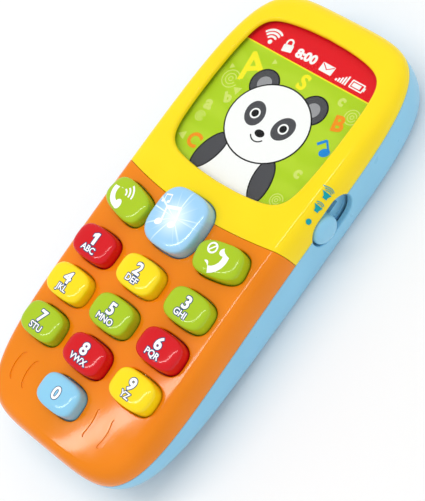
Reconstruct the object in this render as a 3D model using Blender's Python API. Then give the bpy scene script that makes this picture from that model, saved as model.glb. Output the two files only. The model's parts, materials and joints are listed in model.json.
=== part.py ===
"""A toddler's toy cell phone, as separate pieces: case, keys, screen, electronics, cells and battery door.

The phone lies on its back. +X is its right side, +Y points to the screen end and +Z comes out of the face.
The origin is on the flat back, at the middle of the case's outline. Lengths are written in millimetres, and
mesh_object() and place() turn them into metres.
"""
import math

import bpy
import numpy as np
from mathutils import Matrix

MM = 0.001
GAP = 0.3
BEYOND = 100.0
SHARP_ANGLE = math.radians(35.0)

# Case outline and section
HALF_WIDTH = 35.6
TOP_LENGTH = 84.8
BOTTOM_LENGTH = 82.5
TOP_EXPONENT = 4.8
BOTTOM_EXPONENT = 4.9
BARREL = 0.06
PARTING_Z = 18.0
WALL = 2.0
FACE_HEIGHT = 12.0
FACE_SLOPE = 0.0173
FACE_CROWN = 1.77
FACE_CROWN_AT = 48.0
FACE_SAG = 0.76
FRONT_EDGE = 4.5
BACK_EDGE = 4.7
EDGE_EXPONENT = 2.4
OUTLINE_POINTS = 48
TAIL_LIFT = 3.8
TAIL_LIFT_FROM = 2.0
TAIL_LIFT_RUN = 50.0
TAIL_LIFT_POWER = 1.5
BACK_TRIM = 0.2

# Seam between the two front covers: a shallow smile across the face
SEAM_MIDDLE_Y = 5.0
SEAM_RISE = 4.0
SEAM_REACH = 45.0

# Finger grooves below the keys: middle x and sideways bow of each
GROOVES = ((-22.4, -1.2), (-16.2, -1.2), (13.5, 0.5), (20.0, 0.7))
GROOVE_Y = -66.5
GROOVE_LENGTH = 10.0
GROOVE_WIDTH = 1.8
GROOVE_DEPTH = 0.5

# Hooks that hold the screen cover's top edge
HOOK_X = 14.0
HOOK_HALF = 3.0
HOOK_Y = (79.0, 80.3)
HOOK_BOTTOM = 13.6
HOOK_ROOT_Z = (20.2, 21.4)
HOOK_ROOT_Y = 83.5

# Tongue of the back cover, inside the front covers' wall
TONGUE_IN = 3.5
TONGUE_OUT = 2.5
TONGUE_TOP = PARTING_Z + 0.9
TONGUE_FOOT = PARTING_Z - 2.5

# Keys
COLUMN_PITCH = 21.3
ROW_PITCH = 14.85
FIRST_ROW_Y = -20.8
KEY_HALF = (8.1, 5.65)
CALL_HALF = (8.7, 5.75)
LIGHT_HALF = (9.75, 10.25)
CALL_AT = (20.6, -3.4)
LIGHT_AT = (0.0, -0.2)
CALL_TURN = math.radians(12.0)
KEY_RISE = 5.0
LIGHT_RISE = 5.4
FLANGE = 0.8
FLANGE_THICK = 1.2
KEY_CLEARANCE = 0.3
KEY_POINTS = 16
POST_RADIUS = 2.4
POST_BOTTOM = 22.9
KEY_DOME = ((1.0, 2.4), (0.97, 1.2), (0.88, 0.45), (0.6, 0.1))
KEY_SHADES = {
    1: "red", 2: "yellow", 3: "green",
    4: "yellow", 5: "green", 6: "red",
    7: "green", 8: "red", 9: "yellow",
    0: "blue",
}

# Board and rubber keypad
BOARD_TOP = 17.8
BOARD_THICK = 1.2
BOARD_EDGE = 5.2
BOARD_END_Y = 9.0
MAT_BOTTOM = BOARD_TOP + GAP
MAT_THICK = 1.0
DOME_TOP = 22.6
DOME_RADII = (3.9, 2.6)
HOLLOW_RADII = (3.2, 1.8)
LIGHT_DOME_AT = (0.0, -7.4)
LED_RADIUS = 2.5

# Screen
SCREEN_MIDDLE_Y = 46.2
SCREEN_HALF = (27.5, 28.9)
SCREEN_Z = PARTING_Z + 6.5
SCREEN_TILT = math.atan(0.086)
WINDOW_LAP = 1.5
WINDOW_THICK = 1.2
CARD_THICK = 0.5

# Case screws: four hold the keypad cover, two hold the screen cover
SCREW_PLACES = ((-10.65, -28.2), (10.65, -28.2), (-10.65, -58.1), (10.65, -58.1), (-24.0, 12.6), (24.0, 12.6))
BOSS_RADIUS = 2.4
TUBE_RADIUS = 3.3
TUBE_TOP = 14.0
HEAD_SEAT = 9.0
HEAD_RADIUS = 2.2
HEAD_THICK = 1.6
SCREW_RADIUS = 1.05
SCREW_TIP = 19.6

# Battery bay and its door
CELL_RADIUS = 5.2
CELL_X = 5.5
CELL_Z = 7.75
CELL_LENGTH = 43.7
NUB_LENGTH = 0.8
NUB_RADIUS = 1.9
CONTACT_Z = (3.6, 12.6)
CONTACT_THICK = 0.4
SPRING_WIDE = 3.6
SPRING_NARROW = 2.1
SPRING_TURNS = 3.5
BAY_Y = (13.6, 64.4)
BAY_HALF_X = 11.1
BAY_ROOF = 13.3
BAY_WALL = 1.4
DOOR_Y = (10.5, 73.0)
DOOR_HALF_X = 14.0
DOOR_CORNER = 2.2
DOOR_Z = (0.3, 2.0)
DOOR_SEAT = 2.3
FRAME_TOP = 3.8
HINGE = (0.0, 11.35, 1.15)
TAB_X = 7.6
TAB_HALF = 2.6
DOOR_SCREW_Y = 68.2
GRIP_COUNT = 5
GRIP_FROM = 44.0
GRIP_PITCH = 2.2
GRIP_HALF = 7.0

# Volume slider
POCKET_MIDDLE = (27.1, 15.8)
POCKET_HALF_LENGTH = 9.4
POCKET_RADIUS = 5.9
POCKET_FLOOR_X = 32.0
KNOB_HALF = (5.0, 5.3)
KNOB_OUT_X = 37.2
KNOB_Y = 23.4
KNOB_TRAVEL = 7.4
KNOB_DOME = ((1.0, 0.0), (1.0, 0.45), (0.93, 0.72), (0.76, 0.9), (0.42, 0.985))
NECK_HALF = (2.0, 1.5)
NECK_BACK_X = 30.0
PLATE_HALF = (9.9, 3.4)

# Speaker
SPEAKER_Y = -43.1
SPEAKER_RADIUS = 13.4
SPEAKER_SEAT = 7.4
GRILLE_RINGS = ((6, 4.4), (12, 8.8))
GRILLE_HOLE = 1.1

YELLOW = (1.0, 0.80, 0.03)
ORANGE = (0.93, 0.30, 0.01)
BLUE = (0.24, 0.56, 0.82)
LIME = (0.44, 0.66, 0.03)
RED = (0.75, 0.01, 0.03)
WHITE = (0.9, 0.9, 0.88)
BOARD_GREEN = (0.05, 0.3, 0.12)


# --- materials -----------------------------------------------------------------------------------

def material(name, color, roughness=0.3, metallic=0.0, alpha=1.0):
    """A plain Principled material, made once for each name."""
    if name in bpy.data.materials:
        return bpy.data.materials[name]
    made = bpy.data.materials.new(name)
    made.use_nodes = True
    shader = made.node_tree.nodes["Principled BSDF"]
    shader.inputs["Base Color"].default_value = (*color, 1.0)
    shader.inputs["Roughness"].default_value = roughness
    shader.inputs["Metallic"].default_value = metallic
    shader.inputs["Alpha"].default_value = alpha
    return made


# --- mesh helpers --------------------------------------------------------------------------------

def mesh_object(name, points, faces, finish=None):
    """Make an object from points in millimetres and faces."""
    mesh = bpy.data.meshes.new(name)
    scaled = [tuple(float(value) * MM for value in point) for point in points]
    mesh.from_pydata(scaled, [], [tuple(face) for face in faces])
    mesh.validate()
    made = bpy.data.objects.new(name, mesh)
    bpy.context.scene.collection.objects.link(made)
    if finish is not None:
        mesh.materials.append(finish)
    mesh.shade_smooth()
    mesh.set_sharp_from_angle(angle=SHARP_ANGLE)
    return made


def place(item, x, y, z, parent=None):
    """Put an object's origin at a point given in millimetres."""
    item.location = (x * MM, y * MM, z * MM)
    item.parent = parent
    return item


def loft(name, rings, finish=None, caps=(None, None)):
    """Skin equal rings, anticlockwise from above; a cap is a fan to its point, or one flat face."""
    count = len(rings[0])
    points = [tuple(point) for ring in rings for point in ring]
    faces = []
    for low in range(len(rings) - 1):
        for i in range(count):
            j = (i + 1) % count
            a, b = low * count, (low + 1) * count
            faces.append((a + i, a + j, b + j, b + i))
    last = (len(rings) - 1) * count
    for start, centre, flip in ((0, caps[0], True), (last, caps[1], False)):
        loop = [start + i for i in range(count)]
        if flip:
            loop.reverse()
        if centre is None:
            faces.append(tuple(loop))
            continue
        points.append(tuple(centre))
        hub = len(points) - 1
        faces.extend((loop[i], loop[(i + 1) % count], hub) for i in range(count))
    return mesh_object(name, points, faces, finish)


def ring(outline, z):
    """An outline's points at one height, or at the height that a function gives."""
    if callable(z):
        return [(x, y, z(x, y)) for x, y in outline]
    return [(x, y, z) for x, y in outline]


def extrude(name, outline, low, high, finish=None):
    """A prism along Z."""
    return loft(name, [ring(outline, low), ring(outline, high)], finish)


def combine(target, tool, operation="DIFFERENCE"):
    """Apply an exact Boolean, and drop the tool."""
    modifier = target.modifiers.new("combine", "BOOLEAN")
    modifier.object = tool
    modifier.operation = operation
    modifier.solver = "EXACT"
    bpy.context.view_layer.update()
    graph = bpy.context.evaluated_depsgraph_get()
    made = bpy.data.meshes.new_from_object(target.evaluated_get(graph), depsgraph=graph)
    finish = target.data.materials[0] if target.data.materials else None
    target.modifiers.clear()
    target.data = made
    made.name = target.name
    made.materials.clear()
    if finish is not None:
        made.materials.append(finish)
    bpy.data.objects.remove(tool, do_unlink=True)
    made.shade_smooth()
    made.set_sharp_from_angle(angle=SHARP_ANGLE)
    return target


def even(outline, count, corner_share=0.6):
    """Points along a closed outline, from its first point, drawn together where it turns."""
    dense = np.asarray(outline, float)
    closed = np.vstack([dense, dense[:1]])
    legs = np.diff(closed, axis=0)
    steps = np.hypot(*legs.T)
    heading = np.unwrap(np.arctan2(legs[:, 1], legs[:, 0]))
    turning = np.abs(np.gradient(heading))
    steps = (1.0 - corner_share) * steps / steps.sum() + corner_share * turning / turning.sum()
    along = np.concatenate([[0.0], np.cumsum(steps)])
    wanted = np.linspace(0.0, along[-1], count, endpoint=False)
    return np.stack([np.interp(wanted, along, closed[:, k]) for k in (0, 1)], axis=1)


def power(value, exponent):
    """A signed power, for superellipses."""
    return np.sign(value) * np.abs(value) ** exponent


def case_outline(inset=0.0, count=OUTLINE_POINTS):
    """The case seen from above: a squarish superellipse, a little fuller towards its ends."""
    angle = np.linspace(0.0, 2.0 * math.pi, 2400, endpoint=False)
    upper = np.sin(angle) > 0.0
    exponent = np.where(upper, TOP_EXPONENT, BOTTOM_EXPONENT)
    x = HALF_WIDTH * power(np.cos(angle), 2.0 / exponent)
    y = np.where(upper, TOP_LENGTH, BOTTOM_LENGTH) * power(np.sin(angle), 2.0 / exponent)
    x = x * (1.0 + BARREL * (y / BOTTOM_LENGTH) ** 2)
    points = even(np.stack([x, y], axis=1), count)
    return points * (1.0 - inset / np.array([HALF_WIDTH, BOTTOM_LENGTH]))


def cushion(half, count, exponent=3.6, bulge=(0.04, 0.06), grow=0.0, turn=0.0, middle=(0.0, 0.0)):
    """A rounded rectangle whose four sides bow out."""
    angle = np.linspace(0.0, 2.0 * math.pi, 960, endpoint=False)
    u = power(np.cos(angle), 2.0 / exponent)
    v = power(np.sin(angle), 2.0 / exponent)
    x = (half[0] + grow) * u * (1.0 - bulge[0] * v * v)
    y = (half[1] + grow) * v * (1.0 - bulge[1] * u * u)
    points = even(np.stack([x, y], axis=1), count)
    spin = np.array([[math.cos(turn), math.sin(turn)], [-math.sin(turn), math.cos(turn)]])
    return points @ spin + np.array(middle)


def circle(radius, count=16, middle=(0.0, 0.0)):
    """A round outline."""
    return [
        (middle[0] + radius * math.cos(a), middle[1] + radius * math.sin(a))
        for a in np.linspace(0.0, 2.0 * math.pi, count, endpoint=False)
    ]


def rectangle(x0, y0, x1, y1, radius=0.0, arc=4):
    """A rectangle with rounded corners."""
    if radius <= 0.0:
        return [(x1, y0), (x1, y1), (x0, y1), (x0, y0)]
    corners = ((x1 - radius, y1 - radius, 0), (x0 + radius, y1 - radius, 1),
               (x0 + radius, y0 + radius, 2), (x1 - radius, y0 + radius, 3))
    points = []
    for cx, cy, quarter in corners:
        for step in range(arc + 1):
            a = math.radians(90.0 * (quarter + step / arc))
            points.append((cx + radius * math.cos(a), cy + radius * math.sin(a)))
    return points


def door_plan(grow=0.0):
    """The door seen from the back: square corners at the hinge, round ones at the screw."""
    x0, x1 = -DOOR_HALF_X - grow, DOOR_HALF_X + grow
    y0, y1 = DOOR_Y[0] - grow, DOOR_Y[1] + grow
    far = rectangle(x0, y0, x1, y1, DOOR_CORNER + grow)
    return far[:10] + [(x0, y0), (x1, y0)]


def cylinder(name, x, y, radius, low, high, finish=None, count=16):
    """An upright cylinder."""
    return extrude(name, circle(radius, count, (x, y)), low, high, finish)


def block(name, low, high, finish=None):
    """A box between two corners."""
    return extrude(name, rectangle(low[0], low[1], high[0], high[1]), low[2], high[2], finish)


def laid_down(item):
    """Turn a shape made along Z so that it lies along Y."""
    item.data.transform(Matrix.Rotation(math.radians(-90.0), 4, "X"))
    return item


def tube(name, route, radius, finish, sides=4, points=None):
    """A round wire along a smooth curve through a few points."""
    route = np.asarray(route, float)
    count = points or 4 * (len(route) - 1) + 1
    knots = np.arange(len(route))
    where = np.linspace(0.0, len(route) - 1.0, count)
    smooth = np.stack([catmull_rom(route[:, k], knots, where) for k in range(3)], axis=1)
    curve = bpy.data.curves.new(name, "CURVE")
    curve.dimensions = "3D"
    curve.bevel_depth = radius * MM
    curve.bevel_resolution = max(0, sides // 2 - 2)
    curve.use_fill_caps = True
    line = curve.splines.new("POLY")
    line.points.add(len(smooth) - 1)
    for target, point in zip(line.points, smooth):
        target.co = (*(float(value) * MM for value in point), 1.0)
    curve.materials.append(finish)
    made = bpy.data.objects.new(name, curve)
    bpy.context.scene.collection.objects.link(made)
    return made


def catmull_rom(values, knots, where):
    """One coordinate of a smooth curve that passes through every value."""
    slopes = np.gradient(values, knots)
    index = np.clip(where.astype(int), 0, len(knots) - 2)
    t = where - index
    a, b = values[index], values[index + 1]
    ma, mb = slopes[index], slopes[index + 1]
    return (
        (2 * t**3 - 3 * t**2 + 1) * a + (t**3 - 2 * t**2 + t) * ma
        + (3 * t**2 - 2 * t**3) * b + (t**3 - t**2) * mb
    )


# --- the case's surfaces -------------------------------------------------------------------------

def face_rise(x, y):
    """How far the face stands above the parting plane."""
    crown = FACE_CROWN * (y / FACE_CROWN_AT) ** 2
    return FACE_HEIGHT - FACE_SLOPE * y - crown - FACE_SAG * (x / COLUMN_PITCH) ** 2


def back_z(x, y):
    """The outer back: flat, with the lower end swept up."""
    tail = max(0.0, (TAIL_LIFT_FROM - y) / TAIL_LIFT_RUN)
    return TAIL_LIFT * tail**TAIL_LIFT_POWER - BACK_TRIM


def quarter(t, exponent=EDGE_EXPONENT):
    """Inset and rise, each 0 to 1, along a rounded edge."""
    angle = t * math.pi / 2.0
    return 1.0 - math.cos(angle) ** (2.0 / exponent), math.sin(angle) ** (2.0 / exponent)


def shrink(outline, factor):
    """An outline scaled about the case's middle."""
    return np.asarray(outline) * factor


def front_rings(wall, edge, steps, scales):
    """Rings of a front surface, from the parting plane up to the middle of the face."""
    rings = []
    for t in np.linspace(0.0, 1.0, steps):
        inset, rise = quarter(t)
        outline = case_outline(wall + edge * inset)
        rings.append(ring(outline, lambda x, y: PARTING_Z + (face_rise(x, y) - wall) * rise))
    flat = case_outline(wall + edge)
    for scale in scales:
        rings.append(ring(shrink(flat, scale), lambda x, y: PARTING_Z + face_rise(x, y) - wall))
    return rings


def front_shell(name, finish):
    """The whole front dome, before it is parted into two covers."""
    outer = front_rings(0.0, FRONT_EDGE, 6, (0.75, 0.5, 0.25))
    inner = front_rings(WALL, FRONT_EDGE - 0.8, 4, (0.7, 0.3))
    inner.reverse()
    centre = PARTING_Z + FACE_HEIGHT
    return loft(name, inner + outer, finish, ((0.0, 0.0, centre - WALL), (0.0, 0.0, centre)))


def seam_side(side):
    """A block over everything on one side of the seam, with half the gap."""
    xs = np.linspace(-SEAM_REACH, SEAM_REACH, 17)
    ys = SEAM_MIDDLE_Y + SEAM_RISE * (xs / HALF_WIDTH) ** 2 + side * GAP / 2.0
    line = list(zip(xs, ys))
    if side > 0:
        outline = line + [(SEAM_REACH, BEYOND), (-SEAM_REACH, BEYOND)]
    else:
        outline = list(reversed(line)) + [(-SEAM_REACH, -BEYOND), (SEAM_REACH, -BEYOND)]
    return extrude("seam", outline, PARTING_Z - 20.0, PARTING_Z + 30.0)


# --- keys ----------------------------------------------------------------------------------------

def key_places():
    """Each number key's digit and middle."""
    places = {}
    for digit in range(1, 10):
        row, column = divmod(digit - 1, 3)
        places[digit] = ((column - 1) * COLUMN_PITCH, FIRST_ROW_Y - row * ROW_PITCH)
    places[0] = (0.0, FIRST_ROW_Y - 3 * ROW_PITCH)
    return places


def key_table():
    """Name, middle, half size, turn and rise of every key."""
    table = [(f"key_{digit}", middle, KEY_HALF, 0.0, KEY_RISE) for digit, middle in key_places().items()]
    table.append(("call_key", (-CALL_AT[0], CALL_AT[1]), CALL_HALF, -CALL_TURN, KEY_RISE))
    table.append(("end_call_key", CALL_AT, CALL_HALF, CALL_TURN, KEY_RISE))
    table.append(("light_key", LIGHT_AT, LIGHT_HALF, 0.0, LIGHT_RISE))
    return table


def flange_top(middle, half):
    """The highest level plane that clears the inside of the face all over a key's flange."""
    xs = [middle[0] + side * (half[0] + FLANGE) for side in (-1, 0, 1)]
    ys = [middle[1] + side * (half[1] + FLANGE) for side in (-1, 0, 1)]
    return PARTING_Z + min(face_rise(x, y) for x in xs for y in ys) - WALL - GAP


def key_solid(name, middle, half, turn, rise, finish):
    """A cushion key: post, flange, walls and a domed top, with its origin on its own axis."""
    top = PARTING_Z + face_rise(*middle) + rise
    under = flange_top(middle, half)
    body = cushion(half, KEY_POINTS, turn=turn)
    skirt = cushion(half, KEY_POINTS, grow=FLANGE, turn=turn)
    post = circle(POST_RADIUS, KEY_POINTS)
    post_low = top - under + FLANGE_THICK
    rings = [] if name == "light_key" else [ring(post, POST_BOTTOM - top), ring(post, -post_low)]
    rings += [ring(skirt, -post_low), ring(skirt, under - top), ring(body, under - top)]
    for scale, drop in KEY_DOME:
        rings.append(ring(shrink(body, scale), -drop))
    made = loft(name, rings, finish, (None, (0.0, 0.0, 0.0)))
    if name == "light_key":
        reach = (LIGHT_DOME_AT[0] - middle[0], LIGHT_DOME_AT[1] - middle[1])
        peg = cylinder("peg", *reach, POST_RADIUS, POST_BOTTOM - top, -post_low + FLANGE_THICK, count=12)
        combine(made, peg, "UNION")
        combine(made, cylinder("well", 0.0, 0.0, LED_RADIUS + 1.2, -post_low - 2.0, -3.2))
    return place(made, middle[0], middle[1], top)


def build_keys():
    """Every key, in its own colour."""
    paints = {"red": RED, "yellow": YELLOW, "green": LIME, "blue": BLUE}
    for name, middle, half, turn, rise in key_table():
        if name == "light_key":
            finish = material("light_key_clear", BLUE, 0.15, alpha=0.6)
        else:
            shade = KEY_SHADES[int(name[-1])] if name.startswith("key_") else "green"
            finish = material(f"key_{shade}", paints[shade], 0.2)
        key_solid(name, middle, half, turn, rise, finish)


def cut_key_holes(shell):
    """Cut the openings that the keys slide in."""
    for name, middle, half, turn, _ in key_table():
        outline = cushion(half, KEY_POINTS, grow=KEY_CLEARANCE, turn=turn, middle=middle)
        combine(shell, extrude("hole", outline, PARTING_Z + 3.0, PARTING_Z + 20.0))


# --- covers --------------------------------------------------------------------------------------

def add_bosses(shell, places, low):
    """Screw bosses that hang from the inside of the face, with blind pilot holes."""
    for x, y in places:
        roof = PARTING_Z + face_rise(x, y) - WALL / 2.0
        combine(shell, cylinder("boss", x, y, BOSS_RADIUS, low, roof, count=12), "UNION")
        combine(shell, cylinder("pilot", x, y, SCREW_RADIUS + GAP, low - 1.0, SCREW_TIP + 0.6, count=8))


def groove_cutter(x, y, bow):
    """A short curved groove, cut a little way into the face."""
    points = []
    for side in (1.0, -1.0):
        for t in np.linspace(-1.0, 1.0, 7) * side:
            taper = GROOVE_WIDTH / 2.0 * math.sqrt(max(0.04, 1.0 - t * t))
            points.append((x + bow * (1.0 - t * t) + side * taper, y + GROOVE_LENGTH / 2.0 * t))
    floor = ring(points, lambda px, py: PARTING_Z + face_rise(px, py) - GROOVE_DEPTH)
    return loft("groove", [floor, ring(points, PARTING_Z + 20.0)])


def build_lower_cover():
    """The orange keypad cover."""
    shell = front_shell("front_cover_lower", material("orange_plastic", ORANGE, 0.28))
    combine(shell, seam_side(-1), "INTERSECT")
    cut_key_holes(shell)
    for x, bow in GROOVES:
        combine(shell, groove_cutter(x, GROOVE_Y, bow))
    add_bosses(shell, SCREW_PLACES[:4], TUBE_TOP + GAP)


def screen_outline(grow=0.0):
    """The screen opening: a rectangle with bowed sides and tight corners."""
    return cushion(SCREEN_HALF, 36, exponent=9.0, bulge=(0.07, 0.105), grow=grow)


def on_screen_plane(item):
    """Tilt a flat shape, made at the screen's middle, into the screen's plane."""
    turn = Matrix.Rotation(-SCREEN_TILT, 4, "X")
    item.data.transform(Matrix.Translation((0.0, SCREEN_MIDDLE_Y * MM, SCREEN_Z * MM)) @ turn)
    return item


def build_upper_cover():
    """The yellow screen cover, with the screen opening, its seat, two bosses and two hooks."""
    shell = front_shell("front_cover_upper", material("yellow_plastic", YELLOW, 0.28))
    combine(shell, seam_side(1), "INTERSECT")
    light = [row for row in key_table() if row[0] == "light_key"][0]
    outline = cushion(light[2], KEY_POINTS, grow=KEY_CLEARANCE, middle=light[1])
    combine(shell, extrude("hole", outline, PARTING_Z + 3.0, PARTING_Z + 20.0))
    combine(shell, on_screen_plane(extrude("opening", screen_outline(), -3.0, 12.0)))
    seat = extrude("seat", screen_outline(WINDOW_LAP + GAP), -6.0, GAP)
    combine(shell, on_screen_plane(seat))
    add_bosses(shell, SCREW_PLACES[4:], TUBE_TOP + GAP)
    for x in (-HOOK_X, HOOK_X):
        low, high = x - HOOK_HALF, x + HOOK_HALF
        root = block("root", (low, HOOK_Y[0], HOOK_ROOT_Z[0]), (high, HOOK_ROOT_Y, HOOK_ROOT_Z[1]))
        combine(shell, root, "UNION")
        hook = block("hook", (low, HOOK_Y[0], HOOK_BOTTOM), (high, HOOK_Y[1], HOOK_ROOT_Z[1] - 0.4))
        combine(shell, hook, "UNION")
    combine(shell, pocket_prism("notch", POCKET_RADIUS, NECK_BACK_X, BEYOND))


def pocket_prism(name, radius, low_x, high_x):
    """A stadium along X, round the volume slider's pocket."""
    y, z = POCKET_MIDDLE
    run = POCKET_HALF_LENGTH - POCKET_RADIUS
    points = []
    for centre, start in ((run, -90.0), (-run, 90.0)):
        for step in range(9):
            a = math.radians(start + 180.0 * step / 8)
            points.append((centre + radius * math.cos(a), radius * math.sin(a)))
    low = [(low_x, y + py, z + pz) for py, pz in points]
    high = [(high_x, y + py, z + pz) for py, pz in points]
    return loft(name, [low, high])


def back_rings():
    """Rings of the back cover: up its outside, over the tongue and down its inside."""
    rim = PARTING_Z - GAP / 2.0
    rings = []
    flat = case_outline(BACK_EDGE)
    for scale in (0.3, 0.7):
        rings.append(ring(shrink(flat, scale), back_z))
    for t in np.linspace(1.0, 0.0, 6):
        inset, drop = quarter(t)
        rings.append(ring(case_outline(BACK_EDGE * inset), lambda x, y: rim + (back_z(x, y) - rim) * drop))
    rings.append(ring(case_outline(TONGUE_OUT), rim))
    rings.append(ring(case_outline(TONGUE_OUT), TONGUE_TOP))
    rings.append(ring(case_outline(TONGUE_IN), TONGUE_TOP))
    rings.append(ring(case_outline(TONGUE_IN), TONGUE_FOOT))
    for t in (0.0, 0.4, 0.75, 1.0):
        inset, drop = quarter(t)
        foot = TONGUE_FOOT - (1.2 if t == 0.0 else 1.2 * (1.0 - drop))
        outline = case_outline(WALL + (BACK_EDGE - 0.6) * inset)
        rings.append(ring(outline, lambda x, y: foot + (back_z(x, y) + WALL + BACK_TRIM - foot) * drop))
    flat = case_outline(WALL + BACK_EDGE - 0.6)
    rings.append(ring(shrink(flat, 0.6), lambda x, y: back_z(x, y) + WALL + BACK_TRIM))
    return rings


def add_bay(shell):
    """The battery bay, with the door's frame and the door screw's cup."""
    frame = rectangle(-DOOR_HALF_X - 2.3, DOOR_Y[0] - 4.0, DOOR_HALF_X + 2.3, DOOR_Y[1] + 2.2, 2.5)
    combine(shell, extrude("frame", frame, 0.6, FRAME_TOP), "UNION")
    low = (-BAY_HALF_X - BAY_WALL, BAY_Y[0] - BAY_WALL, FRAME_TOP - 1.0)
    high = (BAY_HALF_X + BAY_WALL, BAY_Y[1] + BAY_WALL, BAY_ROOF + BAY_WALL)
    combine(shell, block("bay", low, high), "UNION")
    combine(shell, cylinder("cup", 0.0, DOOR_SCREW_Y, 5.8, FRAME_TOP - 1.0, 9.6, count=20), "UNION")


def cut_bay(shell):
    """Open the bay, the door's recess, the pockets for its tabs and the slots for the contacts' tails."""
    combine(shell, extrude("recess", door_plan(GAP), -3.0, DOOR_SEAT))
    combine(shell, block("cells", (-BAY_HALF_X, BAY_Y[0], 1.0), (BAY_HALF_X, BAY_Y[1], BAY_ROOF)))
    combine(shell, cylinder("cup_inside", 0.0, DOOR_SCREW_Y, 4.1, 1.0, 4.2, count=20))
    combine(shell, cylinder("cup_hole", 0.0, DOOR_SCREW_Y, 2.0, 3.0, 8.8, count=16))
    for side in (-1.0, 1.0):
        reach = TAB_HALF + 0.5
        low = (side * TAB_X - reach, DOOR_Y[0] - 2.9, DOOR_SEAT - 0.2)
        high = (side * TAB_X + reach, BAY_Y[0] + 0.4, 6.2)
        combine(shell, block("tab_pocket", low, high))
        tail = (side * CELL_X - 1.6, BAY_Y[0], BAY_ROOF - 1.0)
        combine(shell, block("tail_slot", tail, (tail[0] + 3.2, BAY_Y[0] + 1.3, BAY_ROOF + 3.0)))


def add_speaker_seat(shell):
    """A ring that the speaker drops into, and the grille's holes under it."""
    radius, seat = SPEAKER_RADIUS, SPEAKER_SEAT
    rim = cylinder("rim", 0.0, SPEAKER_Y, radius + 1.9, 0.0, seat + 3.0, count=24)
    ys = np.linspace(SPEAKER_Y + radius + 5.0, SPEAKER_Y - radius - 5.0, 9)
    middle = [(y, back_z(0.0, y) + WALL / 2.0) for y in ys]
    profile = middle + [(ys[-1], -5.0), (ys[0], -5.0)]
    sole = loft("sole", [[(x, y, z) for y, z in profile] for x in (-2.0 * radius, 2.0 * radius)])
    combine(rim, sole)
    combine(shell, rim, "UNION")
    combine(shell, cylinder("well", 0.0, SPEAKER_Y, radius + 0.4, seat - GAP, 12.0, count=24))
    combine(shell, cylinder("sound_well", 0.0, SPEAKER_Y, radius - 1.8, seat - 1.4, 12.0, count=24))
    holes = [(0.0, SPEAKER_Y)]
    for count, reach in GRILLE_RINGS:
        holes += circle(reach, count, (0.0, SPEAKER_Y))
    for x, y in holes:
        combine(shell, cylinder("sound_hole", x, y, GRILLE_HOLE, -3.0, 8.0, count=6))


def add_slider_pocket(shell):
    """The blue pocket that the volume knob slides in, with the slot for its neck."""
    floor = POCKET_FLOOR_X
    combine(shell, pocket_prism("cup", POCKET_RADIUS + 1.4, floor - 1.7, floor + 0.5), "UNION")
    combine(shell, pocket_prism("pocket", POCKET_RADIUS, floor, BEYOND))
    y = KNOB_Y + KNOB_TRAVEL / 2.0
    z = POCKET_MIDDLE[1]
    run = KNOB_TRAVEL / 2.0 + NECK_HALF[0] + GAP
    rise = NECK_HALF[1] + GAP
    combine(shell, block("slot", (floor - 4.0, y - run, z - rise), (floor + 1.0, y + run, z + rise)))


def build_back_cover():
    """The blue back cover."""
    rings = back_rings()
    centre = back_z(0.0, 0.0)
    caps = ((0.0, 0.0, centre), (0.0, 0.0, centre + WALL + BACK_TRIM))
    shell = loft("back_cover", rings, material("blue_plastic", BLUE, 0.3), caps)
    combine(shell, block("below", (-BEYOND, -BEYOND, -5.0), (BEYOND, BEYOND, 0.0)))
    add_bay(shell)
    for x, y in SCREW_PLACES:
        combine(shell, cylinder("tube", x, y, TUBE_RADIUS, back_z(x, y) + 1.3, TUBE_TOP, count=12), "UNION")
    add_speaker_seat(shell)
    add_slider_pocket(shell)
    cut_bay(shell)
    for x, y in SCREW_PLACES:
        combine(shell, cylinder("counterbore", x, y, HEAD_RADIUS + 0.4, -3.0, HEAD_SEAT, count=12))
        bore = SCREW_RADIUS + 0.4
        combine(shell, cylinder("clearance", x, y, bore, HEAD_SEAT - 1.0, TUBE_TOP + 2.0, count=8))


# --- screen --------------------------------------------------------------------------------------

def build_screen():
    """The clear window and the printed card under it."""
    clear = material("clear_window", (0.95, 0.97, 0.97), 0.05, alpha=0.3)
    printed = material("picture_card", (0.5, 0.75, 0.08), 0.6)
    outline = screen_outline(WINDOW_LAP)
    low = -WINDOW_THICK - GAP - CARD_THICK
    on_screen_plane(extrude("screen_window", outline, -WINDOW_THICK, 0.0, clear))
    on_screen_plane(extrude("picture_card", outline, low, low + CARD_THICK, printed))


# --- electronics ---------------------------------------------------------------------------------

def board_shape(name, low, high, edge, finish):
    """A plate that follows the case's lower outline and stops short of the battery bay."""
    plate = extrude(name, case_outline(edge, 40), low, high, finish)
    cutter = block("end", (-BEYOND, BOARD_END_Y, low - 5.0), (BEYOND, BEYOND, high + 5.0))
    combine(plate, cutter)
    for x, y in SCREW_PLACES[:4]:
        combine(plate, cylinder("hole", x, y, BOSS_RADIUS + 0.4, low - 5.0, high + 5.0, count=12))
    return plate


def cone(name, middle, radii, heights, count):
    """A tapered plug between two heights."""
    rings = [ring(circle(radius, count, middle), z) for radius, z in zip(radii, heights)]
    return loft(name, rings)


def build_membrane():
    """The rubber keypad on the board: a mat with a hollow dome under every key and a hole for the lamp."""
    low = MAT_BOTTOM
    rubber = material("silicone", (0.8, 0.8, 0.78), 0.6)
    mat = board_shape("keypad_membrane", low, low + MAT_THICK, BOARD_EDGE + 1.0, rubber)
    combine(mat, cylinder("led_hole", *LIGHT_AT, LED_RADIUS + 0.5, low - 1.0, low + 3.0, count=12))
    middles = [row[1] for row in key_table() if row[0] != "light_key"] + [LIGHT_DOME_AT]
    for middle in middles:
        combine(mat, cone("dome", middle, DOME_RADII, (low + 0.5, DOME_TOP), 10), "UNION")
        combine(mat, cone("hollow", middle, HOLLOW_RADII, (low - 0.5, DOME_TOP - 1.2), 8))


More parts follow.
